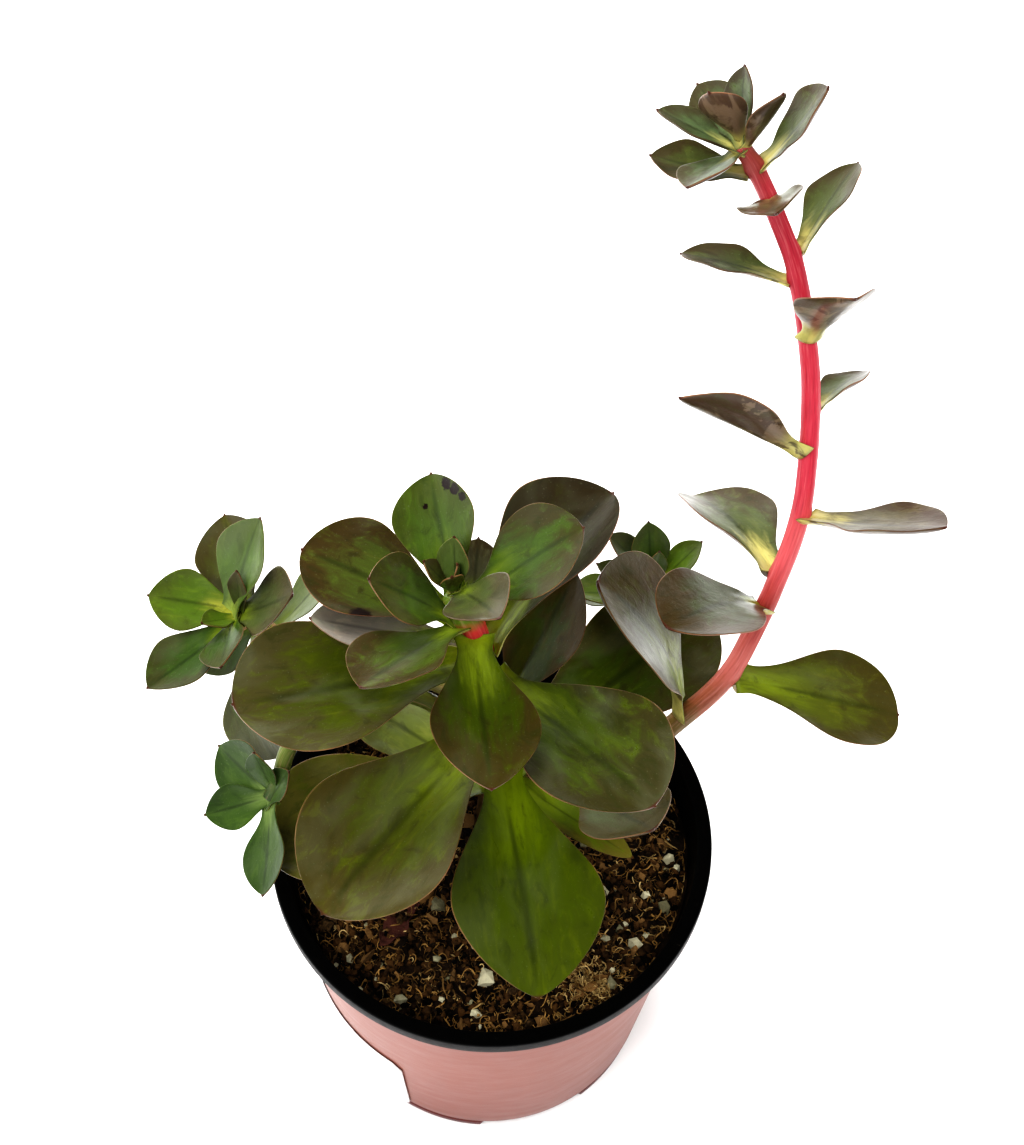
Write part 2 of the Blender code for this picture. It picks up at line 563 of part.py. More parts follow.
def make_plant():
    for old in list(bpy.data.objects):
        bpy.data.objects.remove(old)
    materials = {
        "leaf": plain_material("leaf_green", (0.10, 0.14, 0.03), 0.35),
        "young": plain_material("young_leaf_green", (0.09, 0.17, 0.05), 0.4),
        "stem": plain_material("stem_pink", (0.62, 0.12, 0.16), 0.4),
        "pot": plain_material("pot_terracotta_plastic", (0.52, 0.23, 0.18), 0.5),
        "label": plain_material("label_white", (0.9, 0.9, 0.9), 0.5),
        "soil": plain_material("potting_mix_brown", (0.07, 0.04, 0.02), 0.95),
        "dry": plain_material("dry_leaf_brown", (0.16, 0.07, 0.05), 0.8),
    }
    stem_path = smooth_path(stopped_at(MAIN_STEM, CROWN_AT))
    stalk_path = smooth_path(stopped_at(FLOWER_STALK, STALK_HEAD_AT), 2)
    make_pot(materials["pot"])
    make_label(materials["label"])
    make_soil(materials["soil"], stem_path)
    solid("main_stem", tube(stem_path, MAIN_RADII), materials["stem"])
    solid("flower_stalk", tube(stalk_path, STALK_RADII, 10), materials["stem"])
    young = materials["young"]
    make_head("crown", CROWN, CROWN_AT, CROWN_AXIS, young)
    make_head("stalk_head", STALK_HEAD, STALK_HEAD_AT, STALK_HEAD_AXIS, young)
    make_head("offset_left", LEFT_OFFSET, LEFT_OFFSET_AT, LEFT_OFFSET_AXIS, young, LEFT_OFFSET_STEM)
    make_head("offset_low", LOW_OFFSET, LOW_OFFSET_AT, LOW_OFFSET_AXIS, young, LOW_OFFSET_STEM)
    make_head("offset_back", BACK_OFFSET, BACK_OFFSET_AT, BACK_OFFSET_AXIS, young, BACK_OFFSET_STEM)
    make_leaves(materials)
    dry = leaf_solid(DRY_LEAF, np.array(DRY_LEAF.place), UPRIGHT, 0.0, SMALL_ROWS)
    solid("dry_leaf", dry, materials["dry"])


make_plant()
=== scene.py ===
"""The looks of a potted echeveria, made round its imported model.

Lengths here are millimetres and angles are degrees; each mesh is scaled to metres as it is made.
The pot stands on z = 0 with its axis on x = y = 0, and -Y is the front.
"""

import math
from collections import namedtuple

import bpy
import numpy as np
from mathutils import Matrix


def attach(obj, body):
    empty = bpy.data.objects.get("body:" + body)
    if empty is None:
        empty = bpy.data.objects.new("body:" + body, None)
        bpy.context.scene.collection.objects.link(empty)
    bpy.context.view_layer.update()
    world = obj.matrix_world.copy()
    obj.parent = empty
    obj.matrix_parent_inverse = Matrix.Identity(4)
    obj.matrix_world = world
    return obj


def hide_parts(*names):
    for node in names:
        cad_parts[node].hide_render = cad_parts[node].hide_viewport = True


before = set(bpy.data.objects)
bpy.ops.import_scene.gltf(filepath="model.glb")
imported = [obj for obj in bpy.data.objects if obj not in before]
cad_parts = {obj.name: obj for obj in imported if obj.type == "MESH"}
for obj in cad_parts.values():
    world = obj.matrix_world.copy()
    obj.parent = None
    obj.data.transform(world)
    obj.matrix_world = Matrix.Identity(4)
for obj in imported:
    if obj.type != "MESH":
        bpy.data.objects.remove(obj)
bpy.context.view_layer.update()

MM = 0.001
BODY = "root"

# The camera: place, direction and focal length in pixels of the 1024 by 1145 frame
CAMERA_AT = (0.0, -198.297, 488.602)
CAMERA_DOWN, CAMERA_YAW, CAMERA_ROLL = 55.3286, 0.7732, 2.0926
FOCAL_PIXELS, FRAME_WIDTH, FRAME_HEIGHT = 1800.0, 1024.0, 1145.0
SENSOR = 36.0

# The pot
POT_HEIGHT = 90.0
BASE_RADIUS, TOP_RADIUS, WALL = 43.5, 51.3, 1.0
FLOOR_Z, FLOOR_THICKNESS, CORNER = 1.8, 1.2, 3.0
LIP_RADIUS, LIP_HEIGHT, LIP_THICKNESS, LIP_ROUND = 54.0, 4.0, 0.9, 0.6
FEET, FOOT_START, FOOT_SPAN, FOOT_RADII = 4, -144.0, 54.0, (34.0, 43.3)
PAD_RADIUS, DRAIN_RADIUS, DRAIN_AT = 9.0, 4.0, 34.0

# The soil
SOIL_LEVEL, SOIL_EDGE_DROP = 80.5, 2.0
SOIL_RADIUS = 48.8

# Stems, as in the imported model: points on the centre line, with the radii at their ends
MAIN_STEM = ((0, 8, 68), (0, 9, 80), (1, 12.5, 105), (-2, 16.5, 130), (-5, 20, 149), (-9, 23, 162))
MAIN_RADII = (4.4, 2.9)
FLOWER_STALK = (
    (5, 11.6, 94.5), (20, 14, 95), (34, 18, 99), (45, 23, 107), (55.5, 29.5, 116), (61, 36, 125),
    (66, 44, 137), (70, 52.5, 149), (71, 60, 160), (70.5, 70, 174), (68.5, 78, 185.5),
    (64.5, 87, 198.5), (59, 94, 208.5), (54, 99.5, 216), (50, 101.5, 220.5),
)
STALK_RADII = (2.7, 2.0)
LEFT_OFFSET_STEM = (
    (-4.7, 17.4, 124), (-20, 26, 121), (-40, 38, 114), (-55, 44.5, 109.5), (-61, 42, 115), (-62.3, 40, 122),
)
LOW_OFFSET_STEM = (
    (-4.3, 15.2, 113), (-20, 20, 121), (-38, 16, 124), (-47, 7, 120), (-50, 0, 114), (-52.5, -3, 110.9),
)
BACK_OFFSET_STEM = (
    (3.4, 14.1, 89.5), (14, 28, 93), (24, 44, 94), (32, 58, 95.5), (38, 67, 101), (39, 66, 108),
    (39, 58, 116), (38.4, 52, 123.3),
)
OFFSET_RADII = (2.2, 1.9)

# Leaves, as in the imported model
EDGE = 0.7  # thickness along a leaf's margin
LEAF_GAP = 0.75
FRONT = np.array([0.0, -1.0, 0.0])
UPRIGHT = np.array([0.0, 0.0, 1.0])

Leaf = namedtuple("Leaf", "place around out length width bend roll cup neck waist")
MAIN_LEAVES = {
    "leaf_top": Leaf(156.5, -162, 51, 27.4, 19.5, -30, -30, 0.36, 0.27, 0.64),
    "leaf_crown_left": Leaf(154.6, -78, 42, 25.5, 17, -9, -11, 0.27, 0.28, 0.64),
    "leaf_right_inner": Leaf(158, 100, 46, 32, 21, -19, 11, 0.28, 0.30, 0.63),
    "leaf_right_back": Leaf(143, 136, 62, 44.1, 31, -33, -19, 0.40, 0.29, 0.67),
    "leaf_left_upper": Leaf(152.3, -109, 78, 37.2, 24.5, -9, -5, 0.27, 0.25, 0.65),
    "leaf_left_inner": Leaf(153.6, -38, 65, 34.3, 20.5, -10, 15, 0.27, 0.22, 0.67),
    "leaf_left_wide": Leaf(142, -71, 83, 53, 34.5, 13, 0, 0.21, 0.30, 0.67),
    "leaf_front_inner": Leaf(151, 7, 83, 40.2, 24, 5, -7, 0.25, 0.33, 0.63),
    "leaf_right_front": Leaf(138, 43, 78, 52, 34, -12, -5, 0.27, 0.22, 0.65),
    "leaf_front_long": Leaf(107, 10, 93, 57, 36, -13, -9, 0.26, 0.27, 0.63),
    "leaf_front_left": Leaf(119, -38, 96, 56.2, 38.5, -11, 5, 0.30, 0.31, 0.65),
    "leaf_left_lower": Leaf(99, -63, 86, 54.3, 37.5, -20, 10, 0.31, 0.27, 0.68),
    "leaf_left_hidden": Leaf(94, -120, 81, 40.4, 20, 0, 0, 0.25, 0.30, 0.63),
    "leaf_right_steep": Leaf(120, 142, 45.5, 36.6, 21.5, -5, -6, 0.26, 0.29, 0.63),
    "leaf_right_wide": Leaf(101.4, 129.4, 86.5, 64.4, 34.5, -8, -1, 0.16, 0.30, 0.71),
    "leaf_right_low_narrow": Leaf(100, 57, 94, 34.4, 9.5, 0, 0, 0.20, 0.50, 0.55),
    "leaf_back_upper": Leaf(152, 176, 60, 15.8, 12.5, -5, -8, 0.26, 0.30, 0.60),
    "leaf_left_behind": Leaf(147, -87, 73, 34.1, 17, 10, 14, 0.22, 0.28, 0.64),
}
STALK_LEAVES = {
    "leaf_right_lower": Leaf(15.2, -36, 68, 37.5, 23, 20, 98.6, 0.20, 0.20, 0.66),
    "stalk_leaf_a": Leaf(48.1, -87, 77, 55.8, 30.5, -39, -26, 0.25, 0.22, 0.66),
    "stalk_leaf_b": Leaf(62.3, 83, 76, 45.3, 25.5, -3, 35, 0.25, 0.30, 0.64),
    "stalk_leaf_c": Leaf(82.2, -49, 89, 45.3, 24, -33, -5, 0.20, 0.25, 0.61),
    "stalk_leaf_d": Leaf(90, -164, 87, 38.5, 24, -33, -13, 0.36, 0.30, 0.58),
    "stalk_leaf_e": Leaf(106, 38, 73, 36.5, 19.5, 8, 12, 0.24, 0.32, 0.58),
    "stalk_leaf_f": Leaf(121.6, -66, 64, 35.1, 19, -13, 20, 0.30, 0.33, 0.60),
    "stalk_leaf_g": Leaf(131, 141, 78, 21, 11.5, -15, -9, 0.29, 0.30, 0.60),
    "stalk_leaf_h": Leaf(148.8, 24, 63, 28, 18, -21, -6, 0.33, 0.33, 0.60),
    "stalk_leaf_i": Leaf(161.7, -100, 65, 24.7, 13, -12, -9, 0.29, 0.32, 0.59),
    "stalk_leaf_j": Leaf(167.6, 136, 63, 24.7, 13.5, -11, 9, 0.30, 0.31, 0.60),
    "stalk_leaf_k": Leaf(181.3, 15, 88, 25.2, 14.5, -13, -5, 0.24, 0.24, 0.60),
    "stalk_leaf_l": Leaf(188.7, 79, 64, 22.8, 14.5, 12, 24, 0.28, 0.34, 0.58),
    "stalk_leaf_m": Leaf(188.3, -87, 53, 20.9, 13, 16, -24, 0.25, 0.35, 0.59),
}
# Small leaves of the heads: their place is an offset from the head's middle
STALK_HEAD_AT, STALK_HEAD_AXIS = (50.1, 101.5, 221.2), (-0.36, 0.31, 0.88)
STALK_HEAD = (
    Leaf((-0.5, -1.2, -1.3), -28, 80, 20.5, 13, 2, 0, 0.30, 0.32, 0.61),
    Leaf((0, -0.8, -1), -92, 46, 20, 12, 3, -2, 0.30, 0.33, 0.59),
    Leaf((0.5, 0.5, 0.5), -148, 55, 18, 11.5, -3, -17, 0.30, 0.33, 0.61),
    Leaf((-0.3, 0, 0), 130, 24, 16.5, 10, 2, 3, 0.29, 0.33, 0.60),
    Leaf((0.4, 0.9, 1), -16, 31, 18.5, 10.5, 0, 3, 0.30, 0.32, 0.59),
    Leaf((1.4, -0.4, 0), 58, 47, 18, 10.5, 3, -12, 0.29, 0.33, 0.61),
)
LEFT_OFFSET_AT, LEFT_OFFSET_AXIS = (-62.3, 40, 122), (-0.25, -0.25, 0.93)
LEFT_OFFSET = (
    Leaf((-0.6, 1.6, 1.2), -101, 72, 22, 15.5, 4, -6, 0.29, 0.31, 0.60),
    Leaf((-1.3, -1.1, -0.4), -47, 70, 26.5, 15.5, 8, 4, 0.27, 0.33, 0.62),
    Leaf((-2.4, 0.9, 0.9), 143, 56, 26, 16, -12, -8, 0.34, 0.33, 0.60),
    Leaf((1.1, 1.2, 0.2), -168, 89, 27, 18.5, 1, -3, 0.28, 0.33, 0.61),
    Leaf((-0.5, 0.8, 0.4), 81, 50, 26, 18, 10, -7, 0.22, 0.33, 0.62),
    Leaf((0, 0.5, 0.4), 152, 32, 14, 5.5, 3, 0, 0.28, 0.40, 0.59),
    Leaf((-1.8, -0.5, 0), 7, 52, 20.5, 13, 2, 15, 0.29, 0.33, 0.61),
    Leaf((-1.0, 0, 0.3), -53, 34, 11, 6.5, 4, 3, 0.29, 0.38, 0.60),
    Leaf((3.0, 0.4, -1.8), -60, 108, 19.5, 12, 10, -16, 0.27, 0.34, 0.59),
    Leaf((6.5, 3.5, -11.0), 125, 70, 25, 12.5, 20, -20, 0.22, 0.33, 0.62),
)
HANGING_LEAF = Leaf((-57.6, 40.7, 113.8), 9.6, 92, 33, 29.4, -58, 47, 0.29, 0.31, 0.62)
LOW_OFFSET_AT, LOW_OFFSET_AXIS = (-52.5, -3, 110.9), (-0.64, -0.43, 0.64)
LOW_OFFSET = (
    Leaf((0.2, 0.3, 0.2), -152, 77, 18, 14, 3, 6, 0.29, 0.33, 0.60),
    Leaf((1.2, 0.6, 0.1), 148, 51, 13.5, 8.5, 8, 9, 0.27, 0.33, 0.60),
    Leaf((0.8, 0.5, 0.1), -92, 55, 16.5, 11, 5, -4, 0.28, 0.34, 0.59),
    Leaf((-0.5, -0.9, -0.6), 108, 79, 12.5, 8, 7, -7, 0.28, 0.33, 0.59),
    Leaf((0.1, -1.1, -0.6), -11, 75, 21.5, 12.5, 13, -8, 0.26, 0.30, 0.60),
)
BACK_OFFSET_AT, BACK_OFFSET_AXIS = (38.4, 52, 123.3), (0.1, 0.1, 0.99)
BACK_OFFSET = (
    Leaf((0.4, 0.5, 0.4), -110, 52, 17.5, 10, 1, 1, 0.29, 0.33, 0.60),
    Leaf((-0.4, -0.2, -0.3), -160, 32, 16.5, 10, 5, -8, 0.27, 0.33, 0.61),
    Leaf((0.5, 0.1, 0.1), 119, 44, 15.5, 8.5, 7, -5, 0.28, 0.36, 0.60),
    Leaf((-0.8, -0.9, -0.9), -112, 82, 14.5, 8, 9, 2, 0.27, 0.36, 0.60),
    Leaf((0.2, 0.2, 0.2), -175, 18, 9, 5, 5, 0, 0.28, 0.44, 0.60),
    Leaf((-1.8, -0.7, -0.6), -71, 79, 20, 12, 14, 9, 0.24, 0.33, 0.62),
    Leaf((-0.8, 0.5, -2.5), -104, 124, 19, 9, 14, 7, 0.24, 0.36, 0.60),
)
CROWN_AT, CROWN_AXIS = (-9.8, 23.4, 161.5), (-0.15, 0.1, 0.95)
CROWN = (
    Leaf((1.5, -1.9, 2.1), 29, 57, 28.5, 16, -19, 9, 0.31, 0.28, 0.61),
    Leaf((0.4, -0.2, -0.4), 160, 19, 13.5, 8, 4, -4, 0.28, 0.36, 0.58),
    Leaf((-0.3, 0, 0), -100, 28, 10, 6, 4, 0, 0.28, 0.40, 0.60),
    Leaf((0, -0.3, 0), 20, 22, 9, 5.5, 4, 0, 0.28, 0.42, 0.60),
    Leaf((0.2, 0, 0.3), 90, 12, 8, 5, 4, 0, 0.28, 0.42, 0.60),
)
DRY_LEAF = Leaf((-18.5, -16.5, 81.8), -35, 84, 13, 6.5, 34, 12, 0.5, 0.3, 0.55)


def unit(vector):
    vector = np.asarray(vector, float)
    return vector / np.linalg.norm(vector, axis=-1, keepdims=True)


def soft_step(x):
    x = np.clip(x, 0.0, 1.0)
    return x * x * (3.0 - 2.0 * x)


def smooth_path(points, steps):
    """A Catmull-Rom curve through the points: each span is a cubic whose slopes follow its neighbours."""
    points = np.asarray(points, float)
    ends = np.vstack([2 * points[0] - points[1], points, 2 * points[-1] - points[-2]])
    a, b, c, d = (ends[k : len(ends) - 3 + k, None, :] for k in range(4))
    t = (np.arange(steps) / steps)[None, :, None]
    bend, twist = 2 * a - 5 * b + 4 * c - d, 3 * b - a - 3 * c + d
    spans = 0.5 * (2 * b + (c - a) * t + bend * t**2 + twist * t**3)
    return np.vstack([spans.reshape(-1, 3), points[-1]])


def distances(path):
    """How far along the path each of its points lies."""
    return np.concatenate([[0.0], np.cumsum(np.linalg.norm(np.diff(path, axis=0), axis=1))])


def along(path, distance):
    """The point and the direction at this distance along a path."""
    near = distance + np.array([-0.5, 0.0, 0.5])
    before, point, after = np.stack([np.interp(near, distances(path), path[:, k]) for k in range(3)], axis=1)
    return point, unit(after - before)


# Meshes

def put_mesh(name, points, faces, attributes=(), materials=(), face_material=None, smooth=True):
    """A piece from points in millimetres, faces of equal size, and values for each point."""
    points, faces = np.asarray(points, float), np.asarray(faces, np.int32)
    mesh = bpy.data.meshes.new(name)
    count, size = faces.shape
    mesh.vertices.add(len(points))
    mesh.vertices.foreach_set("co", (points * MM).astype(np.float32).ravel())
    mesh.loops.add(count * size)
    mesh.loops.foreach_set("vertex_index", faces.ravel())
    mesh.polygons.add(count)
    mesh.polygons.foreach_set("loop_start", np.arange(0, count * size, size, dtype=np.int32))
    mesh.polygons.foreach_set("loop_total", np.full(count, size, np.int32))
    for material in materials:
        mesh.materials.append(material)
    if face_material is not None:
        mesh.polygons.foreach_set("material_index", np.asarray(face_material, np.int32))
    mesh.polygons.foreach_set("use_smooth", np.full(count, smooth))
    for key, values in dict(attributes).items():
        values = np.asarray(values, np.float32)
        if values.ndim == 2:
            mesh.attributes.new(key, "FLOAT_VECTOR", "POINT").data.foreach_set("vector", values.ravel())
        else:
            mesh.attributes.new(key, "FLOAT", "POINT").data.foreach_set("value", values)
    mesh.update(calc_edges=True)
    mesh.validate()
    piece = bpy.data.objects.new(name, mesh)
    bpy.context.scene.collection.objects.link(piece)
    return piece


def belongs(piece, slot, *nodes):
    """The piece stands with the part and stands for these nodes; the slot is not used."""
    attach(piece, BODY)
    if nodes:
        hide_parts(*nodes)
    return piece


def ring_faces(rows, around, offset=0):
    """Quads of a closed tube of rings, facing out where the rings turn anticlockwise round their way."""
    i, j = np.meshgrid(np.arange(rows - 1), np.arange(around), indexing="ij")
    a, b = i * around + j, i * around + (j + 1) % around
    return np.stack([a, b, b + around, a + around], axis=-1).reshape(-1, 4) + offset


def closed_rings(rings, attributes):
    """Points, quads and point values of a tube whose two ends are closed by shrunken rings at their middles."""
    rows, around = rings.shape[:2]
    first, last = rings[:1].mean(axis=1, keepdims=True), rings[-1:].mean(axis=1, keepdims=True)
    caps = [middle + (ring - middle) * 0.02 for middle, ring in ((first, rings[:1]), (last, rings[-1:]))]
    points = np.concatenate([caps[0], rings, caps[1]]).reshape(-1, 3)
    values = {}
    for key, value in attributes.items():
        value = np.concatenate([value[:1], value, value[-1:]])
        values[key] = value.reshape(-1, 3) if value.ndim == 3 else value.ravel()
    return points, ring_faces(rows + 2, around), values


def join_shapes(shapes):
    """One set of points, faces and values from several."""
    points, faces, values, start = [], [], {}, 0
    for shape_points, shape_faces, shape_values in shapes:
        points.append(shape_points)
        faces.append(shape_faces + start)
        start += len(shape_points)
        for key, value in shape_values.items():
            values.setdefault(key, []).append(value)
    return np.vstack(points), np.vstack(faces), {k: np.concatenate(v) for k, v in values.items()}


# Leaves

NIB = 0.9  # the small hard point at a leaf's tip
NIB_WIDTH = 0.4
BLUNT = {  # how much rounder than pointed a leaf's end is
    "leaf_top": 0.5, "leaf_left_upper": 0.8, "leaf_crown_left": 0.6, "leaf_left_inner": 0.6,
    "leaf_left_wide": 1.0, "leaf_front_inner": 0.25, "leaf_right_front": 0.8, "leaf_front_left": 0.6,
    "leaf_front_long": 0.1, "leaf_left_lower": 0.8, "leaf_right_back": 0.5, "leaf_right_inner": 0.8,
    "leaf_right_lower": 0.8, "leaf_right_wide": 0.5, "leaf_hanging": 0.6, "stalk_leaf_a": 0.9,
    "stalk_leaf_b": 1.0, "stalk_leaf_c": 0.9, "stalk_leaf_d": 0.6, "stalk_leaf_e": 0.7,
}
USUAL_BLUNT = 0.35
CLASP = 1.3  # how far a leaf's base runs on into its stem


def half_width(share, leaf, blunt):
    """A leaf's half width: a neck that swells to the waist, then rounds in to the tip.

    Past the waist it is a power of one less a power of the share left; bluntness moves both powers.
    """
    swell = leaf.neck + (1 - leaf.neck) * soft_step((share - 0.06) / (leaf.waist - 0.06))
    past = np.clip((share - leaf.waist) / (1 - leaf.waist), 0.0, 1.0)
    end = (1 - past ** (1.7 + 0.5 * blunt)) ** (0.8 - 0.22 * blunt)
    return np.where(share < leaf.waist, swell, end) * leaf.width / 2


def fine_leaf(leaf, root, axis, offset, number, blunt=0.2, rows=72, around=56, wave=0.3):
    """A fleshy leaf as a function of its share along and its angle round the blade.

    The midrib is a bent line; across it the blade is cupped by the square of the distance from the midrib.
    Its upper face lies on that cup and its under face lies a thickness below, which falls from the midrib
    to the margins; a power of the sine of the angle rounds the margin between them.
    """
    forward = unit(FRONT - axis * (FRONT @ axis))
    turn_round, out, roll = np.radians([leaf.around, leaf.out, leaf.roll])
    spoke = forward * math.cos(turn_round) + np.cross(axis, forward) * math.sin(turn_round)
    ahead = axis * math.cos(out) + spoke * math.sin(out)
    above = axis * math.sin(out) - spoke * math.cos(out)
    side = np.cross(above, ahead) * math.cos(roll) + above * math.sin(roll)
    above = np.cross(ahead, side)

    reach = leaf.length + NIB / 2
    way = np.sin(np.linspace(0, 1, rows) * math.pi / 2) ** 0.9 * (reach + CLASP) - CLASP
    share = np.clip(way / leaf.length, 0, 1)
    turn = math.radians(leaf.bend) * (share - 0.5)[:, None]
    run = ahead * np.cos(turn) + above * np.sin(turn)
    lift = above * np.cos(turn) - ahead * np.sin(turn)
    steps = (run[1:] + run[:-1]) / 2 * np.diff(way)[:, None]
    midrib = root + spoke * offset - run[0] * CLASP + np.vstack([np.zeros(3), np.cumsum(steps, axis=0)])

    nib = NIB_WIDTH * np.sqrt(np.clip(1 - ((way - leaf.length + NIB / 2) / NIB) ** 2, 0, 1))
    half = np.maximum(half_width(share, leaf, blunt), nib)
    half = half * (1 + 0.25 * np.exp(-(((way + CLASP) / 2.2) ** 2)))
    core = 0.055 * leaf.length * (1 - 0.45 * share) * np.minimum(1.0, (half / half.max()) ** 0.5 + 0.25)
    core = np.minimum(np.maximum(core, EDGE), 1.6 * half + 0.05)
    edge = np.minimum(EDGE, 1.4 * half + 0.04)

    angle = 2 * math.pi * np.arange(around) / around
    across, height = np.cos(angle), np.sign(np.sin(angle)) * np.abs(np.sin(angle)) ** 0.45
    thick = edge[:, None] + (core - edge)[:, None] * (1 - across**2)
    cup = leaf.cup * across**2 * half[:, None]
    ripple = wave * np.sin(2 * math.pi * (share[:, None] * 2.3 + 0.37 * number + 0.2 * across)) * across**2
    channel = 0.16 * core[:, None] * np.exp(-((across / 0.16) ** 2)) * (1 - share[:, None]) * (height > 0)
    keel = 0.22 * core[:, None] * np.exp(-((across / 0.2) ** 2)) * soft_step(share[:, None] * 1.5) * (height < 0)
    raised = cup + ripple * soft_step(share * 4)[:, None] * (1 - share[:, None] ** 6) - channel
    raised = raised - keel * (1 - share[:, None] ** 4) - thick * (1 - height) / 2
    rings = midrib[:, None] + side * (across * half[:, None])[..., None] + lift[:, None] * raised[..., None]

    flow = np.stack([across * half[:, None], way[:, None] + 0 * across, np.full((rows, around), number * 37.0)], -1)
    attributes = {
        "along": share[:, None] + 0 * across,
        "across": across + 0 * share[:, None],
        "under": (1 - height) / 2 + 0 * share[:, None],
        "flow": flow,
        "tone": np.full((rows, around), (number * 0.618) % 1.0),
    }
    return closed_rings(rings, attributes)


# Stems

def fine_stem(path, radii, reference, scars=(), around=40, ridges=9, seed=1):
    """A fleshy stem: rings on a path, whose radius tapers, swells at each leaf's foot and has shallow ridges."""
    way = distances(path)
    tangent = unit(np.gradient(path, axis=0))
    side = unit(np.cross(tangent, reference))
    up = np.cross(tangent, side)
    angle = 2 * math.pi * np.arange(around) / around
    radius = np.interp(way, (0, way[-1]), radii)[:, None] + 0 * angle
    radius = radius * (1 + 0.012 * np.sin(ridges * angle + 0.06 * way[:, None] + seed))
    radius = radius * (1 + 0.01 * np.sin(0.45 * way[:, None] + 3 * angle + 2 * seed))
    rings_out = np.cos(angle)[:, None] * side[:, None] + np.sin(angle)[:, None] * up[:, None]
    for distance, direction in scars:
        facing = np.clip(rings_out @ unit(direction), 0, 1) ** 2
        radius = radius + 0.45 * facing * np.exp(-(((way[:, None] - distance) / 1.6) ** 2))
    rings = path[:, None] + rings_out * radius[..., None]
    flow = np.stack([np.cos(angle) * 3 + 0 * way[:, None], np.sin(angle) * 3 + 0 * way[:, None],
                     way[:, None] + 0 * angle], -1)
    attributes = {"along": way[:, None] / way[-1] + 0 * angle, "flow": flow}
    return closed_rings(rings, attributes)


# Materials

def srgb(red, green, blue):
    """A colour as it looks on a screen, as the shader's linear values."""
    value = np.array([red, green, blue]) / 255.0
    return tuple(np.where(value <= 0.04045, value / 12.92, ((value + 0.055) / 1.055) ** 2.4))


class Finish:
    """A material's nodes, with short ways to add and join them."""

    def __init__(self, name, **sockets):
        self.material = bpy.data.materials.new(name)
        self.material.use_nodes = True
        self.tree = self.material.node_tree
        self.shader = self.tree.nodes["Principled BSDF"]
        for socket, value in sockets.items():
            self.shader.inputs[socket.replace("_", " ")].default_value = value

    def node(self, kind, inputs=(), **settings):
        node = self.tree.nodes.new("ShaderNode" + kind)
        for key, value in settings.items():
            setattr(node, key, value)
        for key, value in dict(inputs).items():
            self.put(node.inputs[key], value)
        return node

    def put(self, socket, value):
        if isinstance(value, bpy.types.NodeSocket):
            self.tree.links.new(value, socket)
        elif isinstance(value, tuple) and len(value) == 3 and socket.type == "RGBA":
            socket.default_value = (*value, 1)
        else:
            socket.default_value = value

    def mix(self, factor, a, b, blend="MIX"):
        node = self.node("Mix", {0: factor, 6: a, 7: b}, data_type="RGBA", blend_type=blend)
        return node.outputs[2]

    def calc(self, operation, a, b=0.0):
        return self.node("Math", {0: a, 1: b}, operation=operation).outputs[0]

    def ease(self, value, low, high):
        """0 below low, 1 above high, smooth between."""
        inputs = {"Value": value, "From Min": low, "From Max": high}
        return self.node("MapRange", inputs, interpolation_type="SMOOTHSTEP").outputs[0]

    def point(self, name):
        return self.node("Attribute", attribute_name=name).outputs["Fac"]

    def flow(self, stretch=(1, 1, 1)):
        """The piece's own millimetres, drawn out by these shares."""
        vector = self.node("Attribute", attribute_name="flow").outputs["Vector"]
        return self.node("Mapping", {"Vector": vector, "Scale": stretch}).outputs[0]

    def place(self):
        """Millimetres in the part's own frame."""
        vector = self.node("TexCoord").outputs["Object"]
        return self.node("Mapping", {"Vector": vector, "Scale": (1 / MM, 1 / MM, 1 / MM)}).outputs[0]

    def noise(self, vector, size, detail=3.0, rough=0.5, warp=0.0):
        inputs = {"Vector": vector, "Scale": 1.0 / size, "Detail": detail, "Roughness": rough, "Distortion": warp}
        return self.node("TexNoise", inputs).outputs["Fac"]

    def bump(self, height, depth):
        """Relief of this many millimetres where the height goes from 0 to 1."""
        node = self.node("Bump", {"Height": height, "Distance": depth * MM, "Strength": 1.0})
        normal = self.shader.inputs["Normal"]
        if normal.links:
            self.tree.links.new(normal.links[0].from_socket, node.inputs["Normal"])
        self.tree.links.new(node.outputs[0], normal)

    def set(self, socket, value):
        self.put(self.shader.inputs[socket], value)


# sheen is how much of the pale patch of waxy bloom and painted sheen a leaf gets
Look = namedtuple("Look", "base face deep under patch reach brown sheen")
LIME, CREAM = srgb(124, 140, 22), srgb(196, 188, 116)
RIM, NIB_BROWN = srgb(140, 96, 70), srgb(70, 34, 26)
# The first colour on the next line is the pale grey-green of the leaves' waxy bloom and painted sheen, also used for
# their fine pale dots
BLOOM_AND_SHEEN, SCAR = srgb(134, 142, 118), srgb(26, 12, 8)
BROWN, UMBER = srgb(58, 40, 20), srgb(62, 40, 30)
MAUVE, GREY_UNDER, GREEN_UNDER = srgb(116, 96, 78), srgb(116, 112, 88), srgb(92, 110, 50)
PATCH = srgb(60, 38, 28)

